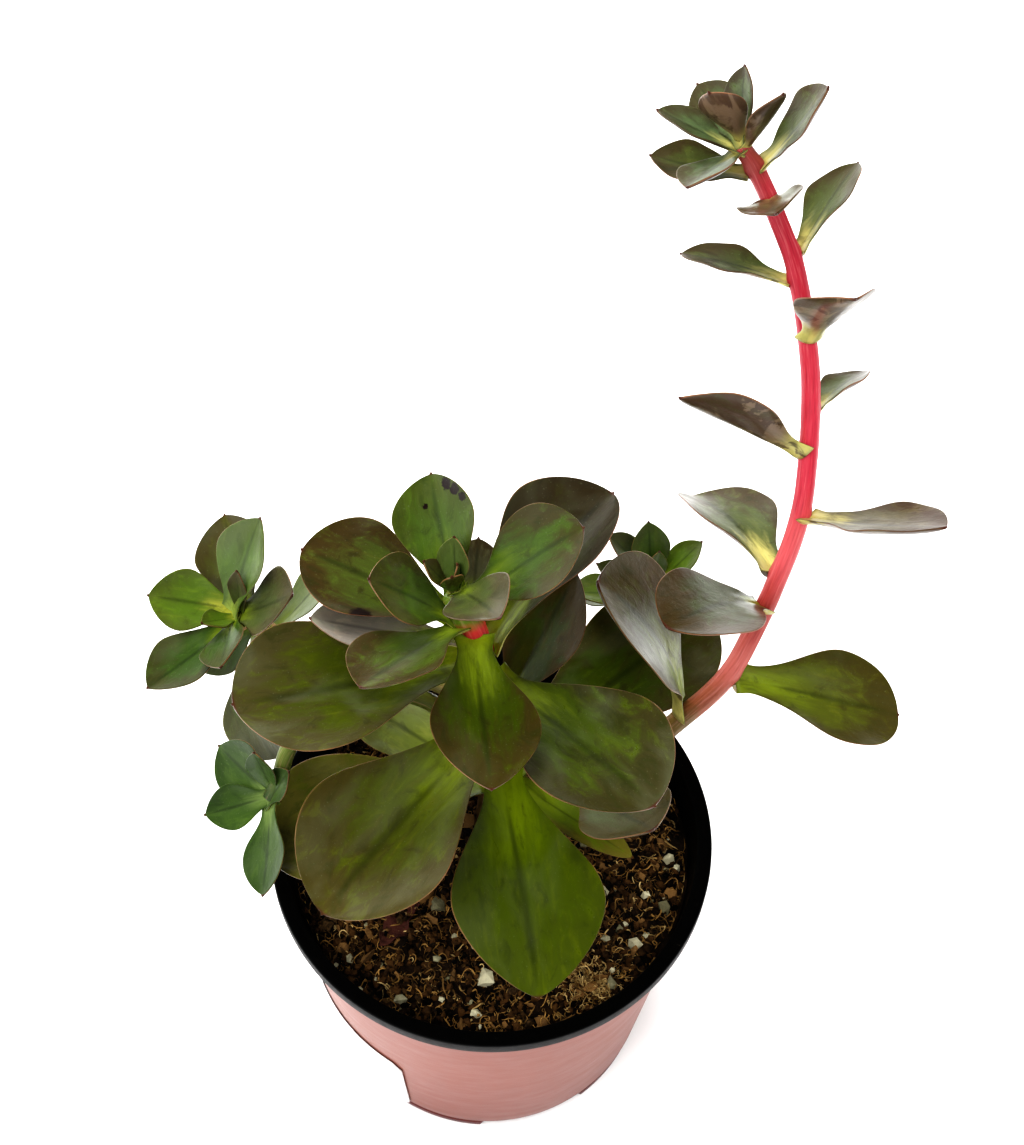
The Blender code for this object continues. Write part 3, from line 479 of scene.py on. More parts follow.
OLIVE = Look(LIME, srgb(64, 72, 8), BROWN, GREY_UNDER, PATCH, 0.42, 0.85, 0.08)
GREEN = Look(LIME, srgb(58, 80, 6), BROWN, GREEN_UNDER, PATCH, 0.45, 0.45, 0.08)
YOUNG = Look(srgb(124, 140, 40), srgb(62, 86, 24), UMBER, GREEN_UNDER, PATCH, 0.3, 0.45, 0.1)
STALKY = Look(CREAM, srgb(72, 80, 42), UMBER, MAUVE, PATCH, 0.32, 0.75, 0.1)
LOOKS = {
    "leaf_top": GREEN._replace(face=srgb(66, 86, 26), under=srgb(62, 80, 32), brown=0.4, sheen=0.08),
    "leaf_crown_left": YOUNG._replace(face=srgb(64, 82, 26), brown=0.6),
    "leaf_right_inner": GREEN._replace(face=srgb(56, 76, 18), brown=0.85),
    "leaf_right_back": OLIVE._replace(face=srgb(42, 44, 16), deep=srgb(44, 34, 18), brown=0.95),
    "leaf_left_upper": OLIVE._replace(face=srgb(66, 76, 28), brown=0.85, sheen=0.2),
    "leaf_left_inner": YOUNG._replace(face=srgb(66, 80, 28), brown=0.85),
    "leaf_left_wide": OLIVE._replace(face=srgb(64, 72, 12), deep=srgb(66, 58, 34), reach=0.34, sheen=0.18),
    "leaf_front_inner": OLIVE._replace(face=srgb(54, 66, 0), reach=0.36),
    "leaf_right_front": OLIVE._replace(face=srgb(60, 72, 14), deep=srgb(52, 42, 24), reach=0.34, sheen=0.14),
    "leaf_front_long": GREEN._replace(base=srgb(112, 130, 4), face=srgb(66, 80, 0), brown=0.15),
    "leaf_front_left": OLIVE._replace(face=srgb(74, 82, 12), deep=srgb(70, 56, 30), reach=0.44, sheen=0.14),
    "leaf_left_lower": OLIVE._replace(face=srgb(62, 76, 10), deep=srgb(120, 96, 58), brown=0.35),
    # The next leaf's pale face and strong sheen are a painted highlight
    "leaf_left_hidden": GREEN._replace(face=srgb(106, 116, 56), sheen=0.4),
    "leaf_right_steep": OLIVE._replace(face=srgb(44, 56, 4), deep=srgb(76, 40, 10), brown=0.6, reach=0.1),
    "leaf_right_wide": OLIVE._replace(face=srgb(46, 58, 2), brown=0.6),
    "leaf_right_lower": OLIVE._replace(face=srgb(80, 88, 44), deep=srgb(92, 64, 34), brown=0.6, sheen=0.2),
    "leaf_right_low_narrow": GREEN._replace(face=srgb(92, 108, 20), deep=srgb(120, 80, 52), brown=0.45),
    "leaf_back_upper": OLIVE._replace(face=srgb(84, 84, 62)),
    "leaf_left_behind": OLIVE._replace(face=srgb(122, 116, 104), deep=srgb(104, 92, 84), brown=0.4, sheen=0.5),
    "leaf_hanging": OLIVE._replace(face=srgb(64, 78, 26), brown=0.6, sheen=0.2),
    "stalk_leaf_a": GREEN._replace(face=srgb(62, 72, 14), under=srgb(76, 82, 36), reach=0.6, brown=0.8, sheen=0.02),
    "stalk_leaf_b": GREEN._replace(face=srgb(80, 86, 18), reach=0.4, brown=0.8),
    "stalk_leaf_c": OLIVE._replace(face=srgb(48, 54, 20), under=srgb(66, 68, 38), reach=0.2, sheen=0.02),
    "stalk_leaf_e": STALKY._replace(face=srgb(84, 76, 50), under=srgb(106, 92, 74), brown=0.9),
    "stalk_leaf_k": STALKY._replace(under=srgb(80, 70, 60)),
}
SPOTS = {  # dark scars: millimetres across and along the leaf, and radius
    "leaf_top": ((-3.6, 24.5, 1.5), (-5.6, 23.0, 1.5), (-7.3, 21.0, 1.2), (2.5, 20.5, 0.7)),
    "leaf_left_upper": ((11.0, 18.5, 3.0),),
}


def leaf_finish(name, look, spots=(), dotted=0.12):
    """Waxy skin: a lime foot, a dark midrib, brown streaks from the margins and tip, pale patches of waxy bloom and
    painted sheen, and a fine rim.
    """
    skin = Finish(name, IOR=1.42, Specular_IOR_Level=0.4, Subsurface_Weight=0.06, Subsurface_Scale=0.0015,
                  Coat_Weight=0.22, Coat_Roughness=0.16)
    skin.shader.inputs["Subsurface Radius"].default_value = (0.8, 1.0, 0.3)
    share, across = skin.point("along"), skin.calc("ABSOLUTE", skin.point("across"))
    tone = skin.point("tone")
    broad = skin.noise(skin.flow((1, 0.6, 1)), 13, 3, 0.55, 0.6)
    mottle = skin.noise(skin.flow((1, 0.55, 1)), 4.2, 5, 0.66, 0.7)
    streak = skin.noise(skin.flow((1, 0.16, 1)), 1.9, 5, 0.62, 0.4)
    fine = skin.noise(skin.flow(), 0.8, 3, 0.6)

    def around_middle(value, amount):
        return skin.calc("MULTIPLY", skin.calc("SUBTRACT", value, 0.5), amount)

    here = skin.calc("ADD", share, around_middle(broad, 0.34))
    away = skin.calc("ADD", here, skin.calc("MULTIPLY", skin.calc("POWER", across, 2.0), 0.3))
    away = skin.calc("ADD", away, around_middle(streak, 0.5))
    upper = skin.mix(skin.ease(away, 0.02, look.reach + 0.12), look.base, look.face)
    paler = tuple(c * share_up for c, share_up in zip(look.face, (1.7, 1.55, 1.4)))
    upper = skin.mix(skin.calc("MULTIPLY", skin.ease(streak, 0.52, 0.68), 0.5), upper, paler)
    turned = skin.calc("ADD", skin.calc("MULTIPLY", here, 0.75), -0.28)
    turned = skin.calc("ADD", turned, skin.calc("MULTIPLY", skin.calc("POWER", across, 3.0), 0.42))
    turned = skin.calc("ADD", turned, around_middle(mottle, 0.9))
    turned = skin.calc("ADD", turned, around_middle(streak, 0.4))
    upper = skin.mix(skin.calc("MULTIPLY", skin.ease(turned, 0.06, 0.46), look.brown), upper, look.deep)
    upper = skin.mix(skin.calc("MULTIPLY", skin.ease(mottle, 0.53, 0.68), 0.45), upper, tuple(c * 0.4 for c in look.face))
    upper = skin.mix(skin.calc("MULTIPLY", skin.ease(mottle, 0.46, 0.34), 0.3), upper, paler)
    rib = skin.calc("MULTIPLY", skin.ease(across, 0.11, 0.0), skin.ease(share, 0.12, 0.35))
    rib = skin.calc("MULTIPLY", rib, skin.ease(share, 1.0, 0.8))
    upper = skin.mix(skin.calc("MULTIPLY", rib, 0.6), upper, tuple(c * 0.3 for c in look.face))
    # Pale grey-green patches: partly the leaf's waxy bloom, partly painted sheen; the look's sheen sets how strong they
    # are
    bloom_and_sheen = skin.calc("MULTIPLY", skin.ease(broad, 0.46, 0.72), look.sheen)
    upper = skin.mix(bloom_and_sheen, upper, BLOOM_AND_SHEEN)

    lower = skin.mix(skin.ease(here, 0.02, look.reach * 0.9), CREAM, look.under)
    blot = skin.noise(skin.flow((1, 0.5, 1)), 6, 4, 0.6, 0.9)
    blot = skin.calc("ADD", blot, skin.calc("MULTIPLY", share, 0.25))
    lower = skin.mix(skin.calc("MULTIPLY", skin.ease(blot, 0.58, 0.64), 0.8), lower, look.patch)
    lower = skin.mix(skin.calc("MULTIPLY", skin.ease(streak, 0.42, 0.7), 0.35), lower, look.face)

    colour = skin.mix(skin.ease(skin.point("under"), 0.42, 0.58), upper, lower)
    colour = skin.mix(skin.calc("MULTIPLY", tone, 0.15), colour, look.face)
    for x, y, radius in spots:
        way = skin.node("VectorMath", {0: skin.flow((1, 1, 0)), 1: (x, y, 0)}, operation="DISTANCE").outputs["Value"]
        way = skin.calc("ADD", way, around_middle(fine, 1.6))
        colour = skin.mix(skin.ease(way, radius, radius * 0.7), colour, SCAR)
    rim = skin.calc("MULTIPLY", skin.ease(across, 0.978, 0.996), skin.ease(share, 0.15, 0.5))
    rim = skin.calc("MULTIPLY", rim, skin.ease(broad, 0.3, 0.65))
    colour = skin.mix(skin.calc("MULTIPLY", rim, 0.7), colour, RIM)
    colour = skin.mix(skin.calc("MULTIPLY", skin.ease(share, 0.985, 0.999), 0.8), colour, NIB_BROWN)
    dots = skin.calc("MULTIPLY", skin.ease(skin.noise(skin.flow(), 0.5, 1, 0.4), 0.68, 0.75), dotted)
    colour = skin.mix(dots, colour, BLOOM_AND_SHEEN)
    skin.set("Base Color", colour)

    gloss = skin.calc("ADD", skin.calc("MULTIPLY", mottle, 0.3), skin.calc("MULTIPLY", bloom_and_sheen, 0.3))
    skin.set("Roughness", skin.calc("ADD", gloss, 0.18))
    skin.bump(broad, 0.5)
    skin.bump(mottle, 0.16)
    skin.bump(streak, 0.09)
    skin.bump(fine, 0.03)
    return skin.material


def stem_finish(name, colours, streak=0.45):
    """Fleshy stem: colours along its length, with fine dark lengthwise streaks, and small pale dots and streaks that
    are painted highlight.
    """
    skin = Finish(name, IOR=1.42, Subsurface_Weight=0.1, Subsurface_Scale=0.0015)
    skin.shader.inputs["Subsurface Radius"].default_value = (1.0, 0.4, 0.3)
    share = skin.point("along")
    wander = skin.noise(skin.flow(), 6, 3, 0.6)
    here = skin.calc("ADD", share, skin.calc("MULTIPLY", skin.calc("SUBTRACT", wander, 0.5), 0.06))
    colour = colours[0][1]
    for (low, _), (high, following) in zip(colours, colours[1:]):
        colour = skin.mix(skin.ease(here, low, high), colour, following)
    lines = skin.noise(skin.flow((1, 1, 0.07)), 0.55, 3, 0.6)
    darker = skin.mix(1.0, colour, (0.42, 0.3, 0.36), "MULTIPLY")
    colour = skin.mix(skin.calc("MULTIPLY", skin.ease(lines, 0.5, 0.75), streak), colour, darker)
    # The pale pink marks are painted highlight lines
    paler = skin.mix(0.35, colour, srgb(235, 170, 165))
    colour = skin.mix(skin.calc("MULTIPLY", skin.ease(lines, 0.48, 0.3), streak), colour, paler)
    skin.set("Base Color", colour)
    skin.set("Roughness", skin.calc("ADD", skin.calc("MULTIPLY", wander, 0.25), 0.25))
    skin.bump(lines, 0.06)
    skin.bump(wander, 0.12)
    return skin.material


def pot_finish():
    """Matte moulded plastic with a faint grain, paler where it is rubbed, redder at the foot."""
    skin = Finish("pot_outside", IOR=1.46)
    place = skin.place()
    broad, grain = skin.noise(place, 30, 2, 0.5), skin.noise(place, 0.5, 2, 0.6)
    scuffs = skin.noise(skin.node("Mapping", {"Vector": place, "Scale": (0.25, 0.25, 1.0)}).outputs[0], 3, 5, 0.7)
    colour = skin.mix(broad, srgb(122, 60, 44), srgb(134, 71, 55))
    height = skin.node("SeparateXYZ", {0: place}).outputs[2]
    colour = skin.mix(skin.calc("MULTIPLY", skin.ease(height, 60, 4), 0.45), colour, srgb(112, 50, 38))
    colour = skin.mix(skin.calc("MULTIPLY", skin.ease(height, 3.2, 2.2), 0.95), colour, srgb(86, 18, 12))
    colour = skin.mix(skin.calc("MULTIPLY", skin.ease(scuffs, 0.62, 0.8), 0.25), colour, srgb(166, 112, 98))
    skin.set("Base Color", colour)
    skin.set("Roughness", skin.calc("ADD", skin.calc("MULTIPLY", scuffs, 0.2), 0.3))
    skin.bump(grain, 0.02)
    skin.bump(broad, 0.2)
    return skin.material


def black_finish():
    """Black plastic of the lip and the inside, with dust and dried splashes."""
    skin = Finish("pot_inside", IOR=1.46, Specular_IOR_Level=0.16)
    place = skin.place()
    grain, dust = skin.noise(place, 0.7, 3, 0.6), skin.noise(place, 2.2, 5, 0.75, 0.4)
    colour = skin.mix(grain, srgb(0, 0, 0), srgb(7, 7, 7))
    colour = skin.mix(skin.calc("MULTIPLY", skin.ease(dust, 0.66, 0.76), 0.3), colour, srgb(120, 110, 95))
    skin.set("Base Color", colour)
    skin.set("Roughness", skin.calc("ADD", skin.calc("MULTIPLY", dust, 0.3), 0.32))
    skin.bump(grain, 0.03)
    return skin.material


def label_finish():
    """Bare white paper with a slight fibre."""
    skin = Finish("label_paper", Roughness=0.6)
    fibre = skin.noise(skin.place(), 0.4, 4, 0.7)
    skin.set("Base Color", skin.mix(fibre, srgb(238, 238, 236), srgb(250, 250, 250)))
    skin.bump(fibre, 0.02)
    return skin.material


def ground_finish(name, dark, light, size, relief):
    """A dull broken surface whose colour wanders between two, moved by each piece's own tone."""
    skin = Finish(name, Roughness=0.9)
    place = skin.place()
    grain = skin.noise(place, size, 5, 0.7)
    tone = skin.calc("MULTIPLY", skin.calc("ADD", grain, skin.point("tone")), 0.5)
    skin.set("Base Color", skin.mix(skin.ease(tone, 0.25, 0.75), dark, light))
    skin.bump(grain, relief)
    return skin.material


# The pot

def wall_radius(height):
    return BASE_RADIUS + (TOP_RADIUS - BASE_RADIUS) * height / POT_HEIGHT


def arc_points(centre, radius, start, end, steps):
    angle = np.radians(np.linspace(start, end, steps + 1))
    return np.stack([centre[0] + radius * np.cos(angle), centre[1] + radius * np.sin(angle)], axis=1)


def line_points(start, end, steps):
    return np.linspace(start, end, steps + 1)


def make_pot():
    """The shell's outline, read from the floor's underside out, up, over the lip and down inside, turned about Z.

    Where a foot stands, the underside is let down to the ground by a smooth step of the radius and the angle.
    """
    under = POT_HEIGHT - LIP_THICKNESS
    lip_low, inside = POT_HEIGHT - LIP_HEIGHT, TOP_RADIUS - WALL
    floor_top = FLOOR_Z + FLOOR_THICKNESS
    corner = (BASE_RADIUS - CORNER + 0.2, FLOOR_Z + CORNER)
    inner_foot = wall_radius(floor_top + CORNER) - WALL
    underside = np.vstack([
        line_points((0.01, 0), (PAD_RADIUS - 0.3, 0), 3),
        line_points((PAD_RADIUS, 0.2), (PAD_RADIUS, FLOOR_Z), 2),
        line_points((PAD_RADIUS + 1, FLOOR_Z), (corner[0], FLOOR_Z), 40),
    ])
    outside = np.vstack([
        underside,
        arc_points(corner, CORNER, -85, 0, 8),
        line_points((wall_radius(6), 6), (wall_radius(lip_low), lip_low), 30),
    ])
    black = np.vstack([
        line_points((wall_radius(lip_low + 0.4), lip_low + 0.4), (wall_radius(under), under), 2),
        line_points((LIP_RADIUS - LIP_THICKNESS - 0.3, under), (LIP_RADIUS - LIP_THICKNESS, under - 0.3), 1),
        arc_points((LIP_RADIUS - 0.55, lip_low + 0.35), 0.35, 180, 270, 3),
        arc_points((LIP_RADIUS - 0.3, lip_low + 0.3), 0.3, -90, 0, 3),
        arc_points((LIP_RADIUS - LIP_ROUND, POT_HEIGHT - LIP_ROUND), LIP_ROUND, 0, 90, 6),
        line_points((LIP_RADIUS - 1.4, POT_HEIGHT + 0.0), (inside + 1.2, POT_HEIGHT - 0.15), 3),
        arc_points((inside + LIP_ROUND, POT_HEIGHT - 0.15 - LIP_ROUND), LIP_ROUND, 90, 180, 5),
        line_points((wall_radius(84) - WALL, 84), (inner_foot, floor_top + CORNER), 20),
        line_points((inner_foot - CORNER, floor_top), (0.01, floor_top), 4),
    ])
    profile = np.vstack([outside, black])
    around = 240
    angle = 2 * math.pi * np.arange(around) / around
    radius, height = profile[:, :1] + 0 * angle, profile[:, 1:] + 0 * angle
    sector = 360 / FEET
    from_foot = np.abs((np.degrees(angle) - FOOT_START - FOOT_SPAN / 2 + sector / 2) % sector - sector / 2)
    foot = soft_step((FOOT_SPAN / 2 - from_foot) / 1.6 + 0.5)
    low, high = FOOT_RADII
    in_foot = soft_step((radius - low) / 0.8 + 0.5) * soft_step((high - radius) / 0.8 + 0.5) * foot
    order = np.arange(len(profile))[:, None]
    beneath = (order < len(outside)) & (height < FLOOR_Z + 0.1) & (radius > PAD_RADIUS + 2)
    height = height - np.where(beneath, FLOOR_Z * in_foot, 0.0)
    for k, (foot_radius, foot_height) in enumerate(((high - 0.5, 0.0), (high, 0.15), (high, 1.2), (high, 2.3))):
        row = len(underside) + k
        radius[row] += (foot_radius - radius[row]) * foot
        height[row] += (foot_height - height[row]) * foot
    rings = np.stack([radius * np.cos(angle), radius * np.sin(angle), height], axis=-1)
    points, faces = rings.reshape(-1, 3), ring_faces(len(profile), around)
    split = (len(outside) - 1) * around
    pot = put_mesh("pot_shell", points, faces, materials=(pot_finish(), black_finish()),
                   face_material=np.arange(len(faces)) >= split)
    for k in range(FEET):
        middle = math.radians(FOOT_START + sector * (k + 1) - (sector - FOOT_SPAN) / 2)
        cut_drain(pot, DRAIN_AT * math.cos(middle), DRAIN_AT * math.sin(middle))
    return belongs(pot, "pot", "pot")


def cut_drain(pot, x, y):
    """A round hole through the floor."""
    rings = np.array([[DRAIN_RADIUS, 0.6], [DRAIN_RADIUS, 5.0]])
    angle = 2 * math.pi * np.arange(24) / 24
    tube = np.stack([x + rings[:, :1] * np.cos(angle), y + rings[:, :1] * np.sin(angle),
                     rings[:, 1:] + 0 * angle], axis=-1)
    points, faces, _ = closed_rings(tube, {})
    cutter = put_mesh("drain", points, faces)
    modifier = pot.modifiers.new("Drain", "BOOLEAN")
    modifier.operation, modifier.object, modifier.solver = "DIFFERENCE", cutter, "EXACT"
    graph = bpy.context.evaluated_depsgraph_get()
    pot.data = bpy.data.meshes.new_from_object(pot.evaluated_get(graph))
    pot.modifiers.clear()
    bpy.data.objects.remove(cutter)


# The soil

random = np.random.default_rng(7)
CRUMB_WAVES = 46
wave_length = random.uniform(1.6, 11.0, CRUMB_WAVES)
wave_way = random.uniform(0, 2 * math.pi, CRUMB_WAVES)
wave_phase = random.uniform(0, 2 * math.pi, CRUMB_WAVES)


def soil_height(x, y):
    """The packed soil's mound of clods."""
    clods = (
        0.55 * np.sin(0.31 * x + 0.8) * np.cos(0.27 * y - 0.5)
        + 0.35 * np.sin(0.55 * x - 0.42 * y + 1.9)
        + 0.25 * np.cos(0.71 * y + 0.33 * x + 0.4)
    )
    edge = (np.hypot(x, y) / (wall_radius(SOIL_LEVEL) - WALL)) ** 6
    return SOIL_LEVEL + clods - SOIL_EDGE_DROP * edge


def crumbled(x, y):
    """The mound with crumbs: many crossed waves, longer ones higher, folded so that they make lumps and pits."""
    phase = (np.cos(wave_way) * x[..., None] + np.sin(wave_way) * y[..., None]) * 2 * math.pi / wave_length
    lumps = (np.abs(np.sin(phase / 2 + wave_phase)) * wave_length**0.7).sum(-1) / CRUMB_WAVES
    return soil_height(x, y) + 1.6 * (lumps - 1.9)


def make_soil():
    """A disc of rings whose height is the crumbled mound; it goes down beside the wall at its edge."""
    rings, around = 110, 300
    radius = np.concatenate([np.linspace(0.01, 1, rings) ** 0.8 * SOIL_RADIUS, [SOIL_RADIUS + 0.4, SOIL_RADIUS + 0.4]])
    angle = 2 * math.pi * np.arange(around) / around
    x, y = radius[:, None] * np.cos(angle), radius[:, None] * np.sin(angle)
    z = crumbled(x, y)
    z[-1] = SOIL_LEVEL - 12
    points = np.stack([x, y, z], axis=-1).reshape(-1, 3)
    faces = ring_faces(len(radius), around)
    # The tone rises where crumbs stand above the mound and falls in its pits: painted light on the lumps and painted
    # shade in the pits
    tone = np.clip((z - soil_height(x, y)) * 0.35 + 0.35, 0, 1).ravel()
    finish = ground_finish("potting_mix", srgb(7, 5, 3), srgb(46, 32, 19), 1.2, 0.6)
    ground = put_mesh("soil_surface", points, faces, {"tone": tone}, (finish,))
    return belongs(ground, "soil", "soil")


def soil_places(count, edge=0.0):
    """Random places on the soil, kept this far in from its edge."""
    radius = (SOIL_RADIUS - edge) * np.sqrt(random.uniform(0, 1, count))
    angle = random.uniform(0, 2 * math.pi, count)
    return radius * np.cos(angle), radius * np.sin(angle)


def turned_axes(count, tilt=1.0):
    """Random right-handed axes for each of several pieces."""
    first = unit(random.normal(size=(count, 3)) * (1, 1, tilt))
    second = unit(np.cross(first, random.normal(size=(count, 3))))
    return np.stack([first, second, np.cross(first, second)], axis=1)


def lump_shape():
    """Corners and faces of a small lump: two rings of four, turned against each other, between two points."""

    def ring(turn, radius, height):
        angle = np.radians(turn + 90 * np.arange(4))
        return np.stack([radius * np.cos(angle), radius * np.sin(angle), np.full(4, height)], axis=1)

    points = np.vstack([[[0, 0, -1]], ring(0, 0.85, -0.45), ring(45, 0.8, 0.5), [[0, 0, 1]]])
    faces = []
    for j in range(4):
        k = (j + 1) % 4
        faces += [(0, 1 + k, 1 + j), (1 + j, 1 + k, 5 + j), (1 + k, 5 + k, 5 + j), (5 + j, 5 + k, 9)]
    return points, np.array(faces)


def scatter_lumps(name, x, y, size, flat, material, slot, sunk=0.3, tone=None):
    """Many small broken lumps on the soil in one piece, each stretched and turned by its own random draw."""
    shape, shape_faces = lump_shape()
    count = len(x)
    stretch = size[:, None] / 2 * random.uniform(0.7, 1.3, (count, 3)) * (1, 1, flat)
    jitter = 1 + 0.18 * random.normal(size=(count, len(shape), 3))
    local = shape[None] * jitter * stretch[:, None]
    turned = np.einsum("nij,njk->nik", local, turned_axes(count))
    centre = np.stack([x, y, crumbled(x, y) + size * (0.5 - sunk)], axis=-1)
    points = (turned + centre[:, None]).reshape(-1, 3)
    faces = (shape_faces[None] + np.arange(count)[:, None, None] * len(shape)).reshape(-1, 3)
    shade = random.uniform(0, 1, count) if tone is None else tone
    piece = put_mesh(name, points, faces, {"tone": np.repeat(shade, len(shape))}, (material,), smooth=False)
    return belongs(piece, slot)


def scatter_fibres(name, count, length, thickness, material, lift, curl, edge=0.4, steps=9, centre=None, spread=0):
    """Curly threads on the soil in one piece: each path turns by its own curl, and rises and falls once."""
    if centre is None:
        x, y = soil_places(count, edge)
    else:
        x, y = centre[0] + random.normal(size=count) * spread, centre[1] + random.normal(size=count) * spread
    share = np.linspace(-0.5, 0.5, steps)
    reach = random.uniform(*length, count)[:, None]
    bend = random.normal(size=(count, 1)) * curl
    sway = random.normal(size=(count, 1)) * curl * 0.7
    heading = random.uniform(0, 2 * math.pi, (count, 1)) + bend * share + sway * np.sin(5 * share)
    step = reach / (steps - 1)
    px = x[:, None] + np.cumsum(np.cos(heading), axis=1) * step
    py = y[:, None] + np.cumsum(np.sin(heading), axis=1) * step
    over = np.maximum(np.hypot(px, py) / (SOIL_RADIUS - edge), 1.0)
    px, py = px / over, py / over
    rise = np.abs(random.normal(size=(count, 1))) * lift
    pz = crumbled(px, py) + 0.12 + rise * np.cos(math.pi * share) + 0.25 * rise * np.sin(9 * share)
    path = np.stack([px, py, pz], axis=-1)
    tangent = unit(np.gradient(path, axis=1))
    side = unit(np.cross(tangent, random.normal(size=(count, 1, 3))))
    up = np.cross(tangent, side)
    radius = random.uniform(*thickness, count)[:, None] * (1 - 0.75 * np.abs(2 * share) ** 3)
    angle = 2 * math.pi * np.arange(3) / 3
    offset = np.cos(angle)[:, None] * side[:, :, None] + np.sin(angle)[:, None] * up[:, :, None]
    rings = path[:, :, None] + offset * radius[:, :, None, None]
    faces = ring_faces(steps, 3)[None] + np.arange(count)[:, None, None] * steps * 3
    tone = np.repeat(random.uniform(0, 1, count), steps * 3)
    piece = put_mesh(name, rings.reshape(-1, 3), faces.reshape(-1, 4), {"tone": tone}, (material,))
    return belongs(piece, "soil")


# What stands out on the soil in the photograph: a pixel of its 1024 by 1145 frame, and a width
GRAINS_SEEN = (
    (437, 907, 3.2), (455, 938, 1.5), (583, 847, 2.2), (604, 893, 2.0), (605, 940, 2.0), (635, 945, 3.0),
    (668, 860, 2.6), (645, 897, 2.2), (620, 930, 1.6), (485, 980, 3.2), (350, 960, 2.2), (437, 962, 2.4),
    (400, 1000, 2.0), (442, 1000, 1.6), (475, 1015, 2.2), (611, 985, 3.0), (664, 908, 3.4), (625, 925, 1.8),
    (646, 935, 1.6), (360, 990, 1.6), (447, 978, 1.6), (453, 976, 1.4), (336, 963, 1.2), (676, 868, 1.8),
    (470, 1002, 1.5),
)
FLAKES_SEEN = (
    (425, 895, 6.5), (432, 905, 4.0), (607, 850, 4.0), (640, 880, 3.5), (650, 840, 3.0), (470, 825, 5.0),
    (590, 985, 5.5), (580, 992, 4.5), (600, 978, 4.0), (640, 905, 3.0),
)
CLUMP_SEEN = (590, 985)
GRAIN_SWELL = 1.3  # a broken lump looks smaller than its width


def seen_on_soil(spots):
    """Where the lines of sight through these pixels meet the soil's level."""
    spots = np.array(spots, float)
    right, up, ahead = camera_axes()
    across, down = (spots[:, :2] - np.array([FRAME_WIDTH, FRAME_HEIGHT]) / 2).T / FOCAL_PIXELS
    sight = ahead + right * across[:, None] - up * down[:, None]
    reach = (SOIL_LEVEL - CAMERA_AT[2]) / sight[:, 2]
    return CAMERA_AT[0] + sight[:, 0] * reach, CAMERA_AT[1] + sight[:, 1] * reach


def make_litter():
    """Crumbs, chips, pale grains and coir threads on the soil."""
    crumb = ground_finish("crumbs", srgb(4, 2, 1), srgb(84, 58, 28), 0.8, 0.2)
    chip = ground_finish("bark_chips", srgb(22, 15, 9), srgb(136, 104, 62), 0.9, 0.2)
    pale = ground_finish("perlite", srgb(120, 116, 88), srgb(206, 200, 170), 0.9, 0.4)
    coir = ground_finish("coir", srgb(26, 16, 7), srgb(176, 138, 80), 1.5, 0.05)
    tan = ground_finish("coir_pale", srgb(128, 98, 48), srgb(222, 194, 136), 1.5, 0.05)
    x, y = soil_places(3600, 0.6)
    scatter_lumps("soil_crumbs", x, y, random.uniform(0.6, 2.6, len(x)), 0.8, crumb, "soil")
    x, y = soil_places(330, 1.5)
    seen_x, seen_y = seen_on_soil(FLAKES_SEEN)
    size = np.append([width for *_, width in FLAKES_SEEN], random.uniform(1.6, 4.6, len(x)))
    tone = np.append(np.full(len(FLAKES_SEEN), 1.2), random.uniform(0, 1, len(x)))
    scatter_lumps("bark_chips", np.append(seen_x, x), np.append(seen_y, y), size, 0.3, chip, "soil", 0.3, tone)
    x, y = soil_places(70, 2.0)
    seen_x, seen_y = seen_on_soil(GRAINS_SEEN)
    size = np.append([width * GRAIN_SWELL for *_, width in GRAINS_SEEN], random.uniform(0.6, 1.9, len(x)))
    scatter_lumps("perlite", np.append(seen_x, x), np.append(seen_y, y), size, 0.85, pale, "soil", 0.25)
    clump_x, clump_y = seen_on_soil((CLUMP_SEEN,))
    scatter_fibres("coir_fine", 3000, (2, 8), (0.08, 0.26), coir, 0.8, 3.0)
    scatter_fibres("coir_pale", 700, (2, 6.5), (0.08, 0.24), tan, 0.9, 3.4)
    scatter_fibres("coir_clump", 380, (2, 6), (0.07, 0.18), tan, 1.1, 3.6, centre=(clump_x, clump_y), spread=3.0)


# The plant

def plant_leaves():
    main = smooth_path(stopped(MAIN_STEM, CROWN_AT), 16)
    stalk = smooth_path(stopped(FLOWER_STALK, STALK_HEAD_AT), 16)
    number = 0
    for name, leaf in MAIN_LEAVES.items():
        number += 1
        distance = np.interp(leaf.place, main[:, 2], distances(main))
        root, _ = along(main, distance)
        radius = np.interp(distance, (0, distances(main)[-1]), MAIN_RADII)
        show_leaf(name, leaf, root, UPRIGHT, radius + LEAF_GAP, number)
    for name, leaf in STALK_LEAVES.items():
        number += 1
        root, axis = along(stalk, leaf.place)
        radius = np.interp(leaf.place, (0, distances(stalk)[-1]), STALK_RADII)
        show_leaf(name, leaf, root, axis, radius + LEAF_GAP, number)
    show_leaf("leaf_hanging", HANGING_LEAF, np.array(HANGING_LEAF.place), unit(LEFT_OFFSET_AXIS), 0.0, number + 1)


def show_leaf(node, leaf, root, axis, offset, number):
    blunt = BLUNT.get(node, USUAL_BLUNT)
    points, faces, values = fine_leaf(leaf, root, axis, offset, number, blunt)
    look = LOOKS.get(node, STALKY)
    piece = put_mesh(node.replace("leaf", "blade"), points, faces, values, (leaf_finish(node + "_skin", look, SPOTS.get(node, ())),))
    belongs(piece, "leaf", node)


CORE_RADIUS = 2.4


def stopped(points, target):
    """The points, with the last one set just clear of a head's core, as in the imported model."""
    target = np.array(target, float)
    last = target + unit(np.array(points[-2]) - target) * (CORE_RADIUS + 0.6)
    return [*points[:-1], last]


